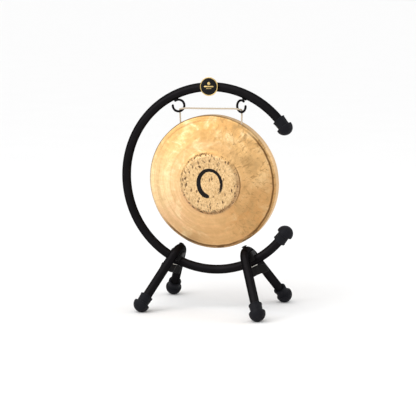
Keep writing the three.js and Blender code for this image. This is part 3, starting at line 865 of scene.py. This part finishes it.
def twisted(line, radius=CORD_RADIUS, fray=None):
    """Tube of three twisted strands along a line; fray gives the radius share along it."""
    points = respaced(line, CORD_STEP)
    outlines = []
    for i in range(len(points)):
        share = fray(i / (len(points) - 1)) if fray else 1.0
        outlines.append(strand_section(2 * pi * i * CORD_STEP / CORD_PITCH, radius * share))
    return sweep(carried_frames(points), outlines)


def cord_line():
    """The whole cord from the left rim hole, over both hooks, to the right rim hole."""
    def over_hook(side):
        return [hung(side * (HOOK_X - inward * MM), back * MM - HOOK_FORWARD, HOOK_Z + up * MM)
                for inward, back, up in CORD_OVER_HOOK]

    def strand(side):
        top = hung(side * HOLE_X, CORD_BEHIND * MM - HOOK_FORWARD, HOOK_Z + STRAND_TOP_UP * MM)
        hole = GONG_LINE @ Vector((side * HOLE_X, 0, 0))
        return [hole.lerp(top, i / 4) for i in range(5)]

    middle = hung(0, -HOOK_FORWARD, HOOK_Z + CORD_MIDDLE_UP * MM)
    return strand(-1) + over_hook(-1) + [middle] + over_hook(1)[::-1] + strand(1)[::-1]


def knot_shape(side):
    """Overhand knot inside the rim, with the cord above it and a frayed tail, in hole coordinates."""
    lobes = []
    for i in range(49):
        t = 2 * pi * i / 48 + pi / 2
        lobes.append(Vector((
            (sin(t) + 2 * sin(2 * t)) * 0.98 * MM * side,
            sin(3 * t) * 1.7 * MM,
            (cos(t) - 2 * cos(2 * t)) * 0.98 * MM - KNOT_DROP,
        )))
    neck = [Vector((0, 0, 0.6 * MM)), Vector((0, 0, -1.6 * MM)), Vector((0, 0, -3.4 * MM))]
    tail = [lobes[-1] + Vector((0, 0, -1.5 * MM)), Vector((1.4 * MM * side, 1.2 * MM, -15 * MM)),
            Vector((3.1 * MM * side, 2.4 * MM, -21 * MM))]
    loop = twisted(centripetal(neck + lobes[:-1], 4), CORD_RADIUS * 0.98)
    end = twisted(centripetal([Vector((0, 0, -KNOT_DROP))] + tail, 8), CORD_RADIUS * 0.95,
                  fray=lambda t: 1 + 0.45 * max(0.0, t - 0.72) / 0.28)
    offset = len(loop[0])
    return loop[0] + end[0], loop[1] + [tuple(i + offset for i in face) for face in end[1]]


def make_cord(look):
    """The whole cord as one piece laid over both hooks, and its two knots, which ride on the gong."""
    line = centripetal(cord_line(), 10)
    cord = piece("hanging_cord", twisted(line), look, None,
                 ("cord_span", "cord_strand_left", "cord_strand_right"), sharp=80)
    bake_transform(cord)
    for side, sign in SIDES.items():
        hole = GONG_LINE @ Matrix.Translation((sign * HOLE_X, 0, 0))
        piece(f"knot_{side}", knot_shape(sign), look, "gong",
                           (f"cord_knot_{side}",), hole, sharp=80)


# ---- hoop and rubber tips -------------------------------------------------------------------
SEAT_ANGLE = degrees(TIP_SEAT / HOOP_RADIUS)


def make_hoop(look):
    """The C-shaped tube, hollow and open at both ends under its rubber tips."""
    places = upright_arc(HOOP_RADIUS, HOOP_OPENING + SEAT_ANGLE, 360 - HOOP_OPENING - SEAT_ANGLE, 300)
    piece("hoop", pipe(places, TUBE_RADIUS, TUBE_RADIUS - TUBE_WALL), look, "stand",
          ("hoop_tube",), HOOP)


def tip_profile():
    """Profile of a push-on rubber tip: domed end, undercut, tapered collar with a lip, and its bore."""
    lip = TIP_COLLAR_RADIUS + 0.7 * MM
    bore = TUBE_RADIUS + TUBE_ROOM
    dome = arc(0, 0, TIP_RADIUS, -90, -6, 30)
    rest = rounded([
        dome[-1],
        (TIP_RADIUS, 0.3 * MM),
        (TIP_RADIUS - 0.1 * MM, 1.7 * MM),
        (TIP_RADIUS - 2.4 * MM, 2.6 * MM, 0.8 * MM),
        (TIP_COLLAR_RADIUS - 0.9 * MM, 3.7 * MM, 1.2 * MM),
        (TIP_COLLAR_RADIUS, TIP_LENGTH - 3.6 * MM, 0.5 * MM),
        (lip, TIP_LENGTH - 3.0 * MM),
        (lip, TIP_LENGTH - 0.5 * MM),
        (lip - 0.9 * MM, TIP_LENGTH),
        (bore + 0.3 * MM, TIP_LENGTH, 0.2 * MM),
        (bore, TIP_LENGTH - 0.5 * MM, 0.2 * MM),
        (bore, TIP_SEAT - GAP, 0.2 * MM),
        (0, TIP_SEAT - GAP),
    ], 0.45 * MM)
    return [(0, -TIP_RADIUS), *dome[1:-1], *rest]


def make_end_cap(name, node, angle, direction, look):
    """Rubber tip bent along the hoop's own curve."""
    vertices, faces = turned(tip_profile(), 80)
    bent = []
    for a, b, height in vertices:
        turn = radians(angle) + direction * height / HOOP_RADIUS
        bent.append(((HOOP_RADIUS + a) * cos(turn), b, (HOOP_RADIUS + a) * sin(turn)))
    piece(name, (bent, faces), look, "stand", (node,), HOOP)


# ---- legs, feet and clamps ------------------------------------------------------------------
def arm_length(outward):
    """Length of each straight arm that brings the feet down to the floor."""
    drop = HOOP_CENTRE.z - TIP_RADIUS + TIP_FLAT
    reach = drop / -outward.z - HOOP_RADIUS + LEG_SEAT
    return (reach - LEG_BEND_RADIUS * (1 - sin(LEG_SPREAD))) / cos(LEG_SPREAD)


def leg_places(length, bend_steps=40):
    """Places down one arm, round the bend over the hoop and down the other arm."""
    turn = pi / 2 - LEG_SPREAD
    stops = [(-1, length * (6 - i) / 6) for i in range(6)]
    stops += [(2 * i / bend_steps - 1, 0.0) for i in range(bend_steps + 1)]
    stops += [(1, length * (i + 1) / 6) for i in range(6)]
    places = []
    side = Vector((1, 0, 0))
    for share, beyond in stops:
        angle = turn * share
        ahead = Vector((0, cos(angle), sin(angle)))
        bend = Vector((0, LEG_BEND_RADIUS * sin(angle), LEG_BEND_RADIUS * (1 - cos(angle)) - LEG_SEAT))
        places.append((bend + ahead * beyond * (1 if share > 0 else -1), side, ahead.cross(side)))
    return places


def make_foot(name, node, place, look):
    """Rubber tip at the end of an arm, worn flat where it stands on the floor."""
    vertices, faces = turned(tip_profile(), 80)
    stood = []
    for vertex in vertices:
        point = place @ Vector(vertex)
        point.z = max(point.z, 0.0)
        stood.append(point)
    piece(name, (stood, faces), look, "stand", (node,))


def make_saddle(side, place, outward, look):
    """Moulded block between the leg's bend and the hoop, with a seat cut in it for each tube."""
    room = TUBE_RADIUS + TUBE_ROOM
    angle = degrees(atan2(outward.dot(HOOP.col[2].xyz), outward.dot(ACROSS)))
    to_station = place.inverted() @ HOOP
    vertices, faces = sweep(upright_arc(HOOP_RADIUS, angle - 7, angle + 7, 24), [circle(room)] * 25)
    hoop = ([to_station @ Vector(v) for v in vertices], faces)
    places = leg_places(30 * MM)
    leg = sweep(places, [circle(room)] * len(places))
    block = soft_box("saddle_block", SADDLE_SIZE, (0, 0, -SADDLE_SIZE[2] / 2), SADDLE_EDGE, 5)
    mesh = carved(f"saddle_{side}", block, [hoop, leg], sharp=30)
    piece(f"saddle_block_{side}", mesh, look, "stand", (f"saddle_{side}",), place)


def hexagon(angle):
    """How much further a hexagon's side is than its flats' distance, as a share."""
    return 1 / cos(angle % (pi / 3) - pi / 6) - 1


def make_clamp_bolt(side, place, look):
    """Socket head bolt down through the leg's bend, the saddle and the hoop."""
    under = -LEG_SEAT - TUBE_RADIUS - 0.05 * MM
    top = under - BOLT_HEAD_HEIGHT
    floor = top + SOCKET_DEPTH
    outline = rounded([
        (SOCKET_RADIUS, floor),
        (SOCKET_RADIUS, top + 0.2 * MM),
        (BOLT_HEAD_RADIUS * 0.56, top),
        (BOLT_HEAD_RADIUS * 0.92, top + BOLT_HEAD_HEIGHT * 0.42, 1.4 * MM),
        (BOLT_HEAD_RADIUS, top + BOLT_HEAD_HEIGHT * 0.8, 0.4 * MM),
        (BOLT_HEAD_RADIUS, under),
        (BOLT_RADIUS, under),
        (BOLT_RADIUS, BOLT_END - 1 * MM),
        (BOLT_RADIUS - 1 * MM, BOLT_END),
        (0, BOLT_END),
    ], 0.3 * MM)
    profile = [(0, floor)]
    for radius, height in outline:
        in_socket = radius < SOCKET_RADIUS * 1.02 and height < under
        profile.append((radius, height, SOCKET_RADIUS if in_socket else 0.0))
    piece(f"bolt_{side}", turned(profile, 72, hexagon), look, "stand",
          (f"clamp_bolt_{side}",), place)


def collar(bore, radius, low, height, seam, cut):
    """Ring round the bolt, whose outline starts and ends in the bore at the seam's two heights."""
    high = low + height
    start, end = (bore, low + seam[0]), (bore, low + seam[1])
    return turned(rounded([start, (bore, low), (radius, low), (radius, high), (bore, high), end], cut))


def make_washer(side, place, look):
    """Plated washer between the hoop and the knob."""
    low = TUBE_RADIUS + 0.05 * MM
    seam = (0.5 * WASHER_THICKNESS, 0.55 * WASHER_THICKNESS)
    shape = collar(BOLT_RADIUS + GAP, WASHER_RADIUS, low, WASHER_THICKNESS, seam, 0.35 * MM)
    piece(f"washer_{side}", shape, look, f"washer_{side}", (f"clamp_washer_{side}",), place)


def knob_outline(inset):
    """Outline of a wing knob seen along its bolt: a round hub between two blunt wings."""
    half = KNOB_WING / 2 - inset
    tip = KNOB_REACH - KNOB_WING / 2
    hub = KNOB_HUB_RADIUS - inset
    return [
        *arc(tip, 0, half, -90, 90, 24), *arc(0, 0, hub, 40, 140, 24),
        *arc(-tip, 0, half, 90, 270, 24), *arc(0, 0, hub, 220, 320, 24),
    ]


def knob_blank():
    """Wing knob: a ribbed hub, and hollow-sided wings whose ends sweep away from the hoop."""
    low, high = KNOB_SEAT, KNOB_SEAT + KNOB_HEIGHT
    rings = []
    for angle in np.linspace(0, pi / 2, 7):
        rings.append((KNOB_EDGE * (1 - sin(angle)), low + KNOB_EDGE * (1 - cos(angle))))
    rings += [(0.0001 * MM, height) for height in np.linspace(low + KNOB_EDGE, high - KNOB_EDGE, 12)[1:-1]]
    rings += [(inset, low + high - height) for inset, height in rings[6::-1]]
    vertices = []
    for inset, height in rings:
        for x, y in knob_outline(inset):
            angle = atan2(y, x)
            on_hub = max(0.0, 1 - abs(x) / KNOB_RIBBED)
            rib = KNOB_RIB_DEPTH * on_hub ** 0.5 * (0.5 - 0.5 * cos(KNOB_RIBS * angle))
            waist = KNOB_WAIST * (1 - on_hub) * sin(pi * (height - low) / (high - low))
            narrow = 1 - rib / hypot(x, y)
            out = max(0.0, abs(x) - KNOB_HUB_RADIUS) / (KNOB_REACH - KNOB_HUB_RADIUS)
            rise = KNOB_RISE * out * (1 - 0.6 * (height - low) / KNOB_HEIGHT)
            waisted = y * narrow - copysign(waist, y) * min(1, abs(y) / (3 * MM))
            vertices.append((x * narrow, waisted, height + rise))
    count = len(vertices) // len(rings)
    return vertices, capped(vertices, len(rings), count, ((0, 0, low), (0, 0, high)))


def make_knob(side, place, plastic, metal):
    """Wing knob turned to its own angle, and the threaded insert in its bore."""
    low = KNOB_SEAT
    bore = INSERT_RADIUS + 0.1 * MM
    roof = low + INSERT_HEIGHT + GAP
    room = turned([(0, low - 1 * MM), (bore, low - 1 * MM), (bore, roof), (0, roof)])
    turn = Matrix.Rotation(KNOB_TURN[side], 4, "Z")
    vertices, faces = knob_blank()
    mesh = carved(f"wing_knob_{side}", ([turn @ Vector(v) for v in vertices], faces), [room], sharp=40)
    piece(f"knob_{side}", mesh, plastic, f"knob_{side}", (f"clamp_knob_{side}",), place)
    insert = collar(BOLT_RADIUS + 0.1 * MM, INSERT_RADIUS, low, INSERT_HEIGHT, (3 * MM, 4 * MM), 0.4 * MM)
    piece(f"insert_{side}", insert, metal, f"knob_{side}", (f"knob_insert_{side}",), place)


def make_leg_set(side, paint, tip, plastic, metal):
    outward = joint_axis(f"knob_turn_{side}")
    place = station(outward)
    length = arm_length(outward)
    tube = pipe(leg_places(length - TIP_SEAT), TUBE_RADIUS, TUBE_RADIUS - TUBE_WALL)
    piece(f"leg_tube_{side}", tube, paint, "stand", (f"leg_{side}",), place)
    for end, back in (("front", -1), ("rear", 1)):
        foot = Vector((
            0,
            back * (LEG_BEND_RADIUS * cos(LEG_SPREAD) + length * sin(LEG_SPREAD)),
            LEG_BEND_RADIUS * (1 - sin(LEG_SPREAD)) - LEG_SEAT + length * cos(LEG_SPREAD),
        ))
        turn = Matrix.Rotation(back * (pi - LEG_SPREAD), 4, "X")
        foot_place = place @ Matrix.Translation(foot) @ turn
        make_foot(f"rubber_foot_{end}_{side}", f"foot_{end}_{side}", foot_place, tip)
    make_saddle(side, place, outward, plastic)
    make_clamp_bolt(side, place, paint)
    make_washer(side, place, metal)
    make_knob(side, place, plastic, metal)


# ---- hooks ----------------------------------------------------------------------------------
def make_hook(side, outward, look):
    """Open ring of wire under the hoop, with the bead of weld that holds it."""
    start = HOOK_START if outward < 0 else 180 - HOOK_START
    toe = Matrix.Rotation(-outward * HOOK_TOE, 4, "Z")
    centre = Vector((HANG_SHIFT + outward * HOOK_X, -HOOK_FORWARD, HOOK_Z))
    arc_places = upright_arc(HOOK_RADIUS, start, start + outward * HOOK_SWEEP, 90)
    places = [(toe @ o + centre, toe.to_3x3() @ u, toe.to_3x3() @ v) for o, u, v in arc_places]
    vertices, faces = wire(places, HOOK_WIRE_RADIUS)
    top = HOOP_RADIUS - TUBE_RADIUS + 0.4 * MM
    bead_x = HANG_SHIFT + outward * top * sin(HOOK_ANGLE)
    bead_centre = Vector((bead_x, centre.y * 0.8, sqrt(top ** 2 - bead_x ** 2)))
    lean = Matrix.Rotation(outward * HOOK_ANGLE, 4, "Y")
    first = len(vertices)
    rows, sides = 29, 32             # of the bead
    for i in range(rows):
        polar = pi * (i + 0.5) / rows
        along = cos(polar)
        swell = sin(polar) * (1 + 0.10 * cos(8 * pi * along))
        for j in range(sides):
            angle = 2 * pi * j / sides
            shape = Vector((along, swell * cos(angle), swell * sin(angle)))
            vertices.append(lean @ (shape * BEAD_SIZE) + bead_centre)
    ends = [lean @ (Vector((along, 0, 0)) * BEAD_SIZE) + bead_centre for along in (1, -1)]
    faces += capped(vertices, rows, sides, ends, first)
    piece(f"hook_ring_{side}", (vertices, faces), look, "stand", (f"hook_{side}",), HOOP)


# ---- badge ----------------------------------------------------------------------------------
def raised_bar(half_length, half_width, low, high, up=0.0):
    """Thin bar with round ends that stands proud of the badge's face."""
    def outline(inset, height):
        radius = half_width - inset
        points = []
        for i in range(48):
            angle = 2 * pi * i / 48
            shift = half_length - half_width if cos(angle) > 0 else half_width - half_length
            points.append((radius * cos(angle) + shift, radius * sin(angle) + up, height))
        return points

    bevel = min(0.12 * MM, half_width * 0.4)
    steps = ((0, low), (0, high - bevel), (bevel * 0.4, high - bevel * 0.3), (bevel, high))
    vertices = [point for inset, height in steps for point in outline(inset, height)]
    faces = quads(len(steps), 48, False)
    faces.append(tuple(range(48)))
    faces.append(tuple(range(3 * 48, 4 * 48)))
    return vertices, faces


def make_badge(gold, black, tip):
    """Round badge on top of the hoop, with plain gold marks on black enamel."""
    place = HOOP @ Matrix.Translation((0, BADGE_BACK, BADGE_STATION)) @ Matrix.Rotation(pi / 2, 4, "X")
    rim = BADGE_RADIUS - BADGE_RIM
    bezel = rounded([
        (0, 0),
        (BADGE_RADIUS - 0.8 * MM, 0),
        (BADGE_RADIUS, 0.8 * MM),
        (BADGE_RADIUS, 2.6 * MM, 0.7 * MM),
        (BADGE_RADIUS - 1.1 * MM, 3.4 * MM, 0.7 * MM),
        (rim, 2.8 * MM, 0.3 * MM),
        (rim, 1.2 * MM),
        (0, 1.2 * MM),
    ], 0.25 * MM)
    piece("badge_ring", turned(bezel, 128), gold, "stand", ("badge_bezel",), place)
    inner = rim - 0.05 * MM
    face = rounded([
        (0, 1.25 * MM),
        (inner, 1.25 * MM),
        (inner, 2.3 * MM, 0.2 * MM),
        (rim * 0.6, 2.7 * MM, 3 * MM),
        (0, 2.9 * MM),
    ], 0.2 * MM)
    piece("badge_enamel", turned(face, 128), black, "stand", ("badge_face",), place)
    marks = (("badge_bar_wide", 12.0, 1.5, 2.4, 3.0, 0.0), ("badge_bar_thin", 6.5, 0.5, 2.4, 2.95, -5.0))
    for name, length, width, low, high, up in marks:
        shape = raised_bar(length * MM, width * MM, low * MM, high * MM, up * MM)
        piece(name, shape, gold, "stand", (), place)
    dot = rounded([(0, 2.4 * MM), (3.6 * MM, 2.4 * MM), (3.6 * MM, 2.9 * MM), (0, 3.05 * MM)], 0.15 * MM)
    above = place @ Matrix.Translation((0, 7.2 * MM, 0))
    piece("badge_dot", turned(dot, 48), gold, "stand", (), above)
    block = soft_box("pad_block", BADGE_PAD, (0, BADGE_BACK + GAP + BADGE_PAD[1] / 2, HOOP_RADIUS), 1 * MM, 3)
    room = sweep(upright_arc(HOOP_RADIUS, 80, 100, 40), [circle(TUBE_RADIUS + 0.1 * MM)] * 41)
    pad = carved("badge_mount_pad", block, [room])
    piece("badge_mount_pad", pad, tip, "stand", ("badge_pad",), HOOP)


# ---- gong -----------------------------------------------------------------------------------
CONE_RINGS = (85, 156)           # radii of the rings of blows on the cone, mm
BLOW_SPACING = (8.2, 8.6)        # outward and round, mm
DISC_BLOWS = 420
BEVEL_BLOWS = 68
STREAKS = 230                    # long scrapes on the cone's right side


def hammer_marks(rng):
    """Hammer blows as (radius, angle, reach outward, reach round, depth), in mm and radians."""
    draw = rng.uniform
    marks = []
    for ring in np.arange(CONE_RINGS[0], CONE_RINGS[1], BLOW_SPACING[0]):
        count = int(2 * pi * ring / BLOW_SPACING[1])
        for i in range(count):
            angle = 2 * pi * (i + draw(-0.35, 0.35)) / count
            marks.append((ring + draw(-2.4, 2.4), angle, draw(6.0, 9.0), draw(5.5, 8.0), draw(0.07, 0.19)))
    for _ in range(DISC_BLOWS):
        ring = 66 * sqrt(draw(0, 1))
        marks.append((ring, draw(0, 2 * pi), draw(2.6, 5.2), draw(2.2, 4.4), draw(0.03, 0.09)))
    for i in range(BEVEL_BLOWS):
        angle = 2 * pi * (i + draw(-0.3, 0.3)) / BEVEL_BLOWS
        weight = 0.35 + 0.65 * max(0.0, cos(angle + radians(40)))
        marks.append((74.5 + draw(-1, 1), angle, draw(4.0, 6.5), draw(1.6, 2.8), 0.42 * weight))
    for _ in range(STREAKS):
        marks.append((draw(92, 150), draw(-1.3, 1.1), draw(9, 20), draw(1.6, 3.2), draw(0.03, 0.08)))
    return marks


def hammered(x, z, rng):
    """How far the hammered face is pushed back at each point, in metres."""
    push = np.zeros_like(x)
    for radius, angle, out_reach, round_reach, depth in hammer_marks(rng):
        ahead = (cos(angle), sin(angle))
        dx, dz = x - radius * MM * ahead[0], z - radius * MM * ahead[1]
        out = (dx * ahead[0] + dz * ahead[1]) / (out_reach * MM)
        round_ = (dz * ahead[0] - dx * ahead[1]) / (round_reach * MM)
        square = out * out + round_ * round_
        near = square < 1
        push[near] += depth * MM * (1 - square[near]) ** 2
    for _ in range(7):
        waves, phase, size = rng.uniform(18, 55, 2), rng.uniform(0, 6.28, 2), rng.uniform(0.04, 0.11) * MM
        push += size * np.sin(waves[0] * x + phase[0]) * np.sin(waves[1] * z + phase[1])
    return push


def gong_profile():
    """Rings of (radius, depth) down the front, over the rim's edge and back inside."""
    shoulder = GONG_RADIUS - GONG_EDGE_RADIUS
    wall = GONG_FACE_WALL
    top = -GONG_CONE_RISE - GONG_DISC_RISE
    face = rounded([
        (0, top),
        (GONG_DISC_RADIUS - 0.8 * MM, top, 4.5 * MM),
        (GONG_DISC_FOOT - 0.6 * MM, -GONG_CONE_RISE, 5 * MM),
        (GONG_DISC_FOOT + 30 * MM, -GONG_CONE_RISE * 0.72, 12 * MM),
        (GONG_EDGE_RADIUS - 2.2 * MM, -0.15 * MM, 2 * MM),
        (GONG_EDGE_RADIUS - 0.6 * MM, 0.35 * MM, 0.6 * MM),
        *arc(GONG_EDGE_RADIUS, shoulder, shoulder, -84, -80, 1),
    ], 1 * MM, 8)
    rim = rounded([
        *arc(GONG_EDGE_RADIUS, shoulder, shoulder, -80, 0, 16),
        (GONG_RADIUS - 0.4 * MM, GONG_DEPTH * 0.6, 4 * MM),
        (GONG_RADIUS - 0.8 * MM, GONG_DEPTH - 0.5 * MM, 0.8 * MM),
        (GONG_RADIUS - GONG_RIM_WALL / 2 - 0.5 * MM, GONG_DEPTH + 0.1 * MM, 0.8 * MM),
        (GONG_RADIUS - GONG_RIM_WALL - 0.5 * MM, GONG_DEPTH - 0.6 * MM, 0.8 * MM),
        *arc(GONG_EDGE_RADIUS, shoulder, shoulder - GONG_RIM_WALL, 0, -75, 10),
    ], 0.4 * MM, 3)
    back = rounded([
        *arc(GONG_EDGE_RADIUS, shoulder, shoulder - GONG_RIM_WALL, -75, -78, 1),
        (GONG_EDGE_RADIUS - 3 * MM, wall, 2 * MM),
        (GONG_DISC_FOOT + 30 * MM, wall - GONG_CONE_RISE * 0.72, 12 * MM),
        (GONG_DISC_FOOT - 1.2 * MM, wall - GONG_CONE_RISE, 2.4 * MM),
        (GONG_DISC_RADIUS - 1.4 * MM, wall + top, 4 * MM),
        (0, wall + top),
    ], 1 * MM, 6)
    return np.concatenate([even(face, 1.45 * MM), even(rim, 1.35 * MM)[1:], even(back, 3.4 * MM)[1:]])


def make_gong(look, segments=480):
    """The hammered plate turned from its profile, with two cord holes drilled through the rim."""
    rng = np.random.default_rng(11)
    outline = gong_profile()
    profile = outline[1:-1]
    angle = 2 * pi * np.arange(segments) / segments
    radius, depth = profile[:, :1], profile[:, 1:]
    rim_share = np.clip(depth / (6 * MM), 0, 1)
    wobble = np.zeros(segments)
    for waves in (2, 3, 5, 7, 11, 17):
        size = rng.uniform(0.05, 0.16) * MM
        wobble += size * np.sin(waves * angle + rng.uniform(0, 6.28))
    x = (radius + rim_share * wobble) * np.cos(angle)
    z = (radius + rim_share * wobble) * np.sin(angle)
    fade = np.clip((GONG_EDGE_RADIUS - 1 * MM - radius) / (5 * MM), 0, 1) * (1 - rim_share)
    y = depth + fade * hammered(x, z, rng)
    vertices = np.stack([x, np.broadcast_to(y, x.shape), z], axis=2).reshape(-1, 3).tolist()
    ends = [(0, end[1], 0) for end in (outline[0], outline[-1])]
    faces = capped(vertices, len(profile), segments, ends)
    drill = [(0, -12 * MM), (GONG_HOLE_RADIUS, -12 * MM), (GONG_HOLE_RADIUS, 12 * MM), (0, 12 * MM)]
    lean = Matrix.Rotation(-GONG_LEAN, 4, "X")
    drills = []
    for sign in SIDES.values():
        rod, rod_faces = turned(drill, 40)
        base = Vector((sign * HOLE_X, GONG_HOLE_DEPTH, GONG_HANG))
        drills.append(([lean @ Vector(v) + base for v in rod], rod_faces))
    mesh = carved("gong_plate", (vertices, faces), drills, sharp=50)
    piece("gong_plate", mesh, look, "gong", ("gong",), GONG)


# ---- studio ---------------------------------------------------------------------------------
def softbox(name, place, target, width, height, power, colour=(1, 1, 1)):
    data = bpy.data.lights.new(name, "AREA")
    data.shape = "RECTANGLE"
    data.size, data.size_y = width, height
    data.energy = power
    data.color = colour
    light = bpy.data.objects.new(name, data)
    bpy.context.scene.collection.objects.link(light)
    light.location = place
    light.rotation_euler = (Vector(target) - Vector(place)).to_track_quat("-Z", "Y").to_euler()
    light.visible_camera = False


def make_studio():
    """Pale surround, soft sun from above, two soft boxes and a plain floor."""
    bpy.context.scene.view_settings.view_transform = "Standard"
    world = bpy.data.worlds.new("studio")
    bpy.context.scene.world = world
    world.use_nodes = True
    background = world.node_tree.nodes["Background"]
    background.inputs["Color"].default_value = (1.0, 1.0, 1.0, 1.0)
    background.inputs["Strength"].default_value = 0.80
    sky = bpy.data.lights.new("soft_overhead", "SUN")
    sky.energy = 1.3
    sky.angle = radians(70)
    overhead = bpy.data.objects.new("soft_overhead", sky)
    bpy.context.scene.collection.objects.link(overhead)
    overhead.rotation_euler = Vector((0.45, 0.75, -1.2)).to_track_quat("-Z", "Y").to_euler()
    softbox("key_left", (-1.9, -2.2, 1.3), HOOP_CENTRE, 1.6, 1.6, 22)
    softbox("back_right", (2.0, 1.0, 1.3), HOOP_CENTRE, 0.9, 1.6, 10)
    half = 400
    corners = [(-half, -half, 0), (half, -half, 0), (half, half, 0), (-half, half, 0)]
    floor = piece("floor", (corners, [(0, 1, 2, 3)]), pale_floor(), None)
    floor.location.z = -0.2 * MM


# ---- assembly -------------------------------------------------------------------------------
make_camera()
make_cord(cotton())
paint, tip, plastic, metal = powder_coat(), rubber(), moulded_plastic(), zinc()
make_hoop(paint)
make_end_cap("rubber_tip_upper", "end_cap_upper", HOOP_OPENING, 1, tip)
make_end_cap("rubber_tip_lower", "end_cap_lower", -HOOP_OPENING, -1, tip)
for side, sign in SIDES.items():
    make_leg_set(side, paint, tip, plastic, metal)
    make_hook(side, sign, paint)
make_badge(gold_plate(), enamel(), tip)
make_gong(bronze())
make_studio()
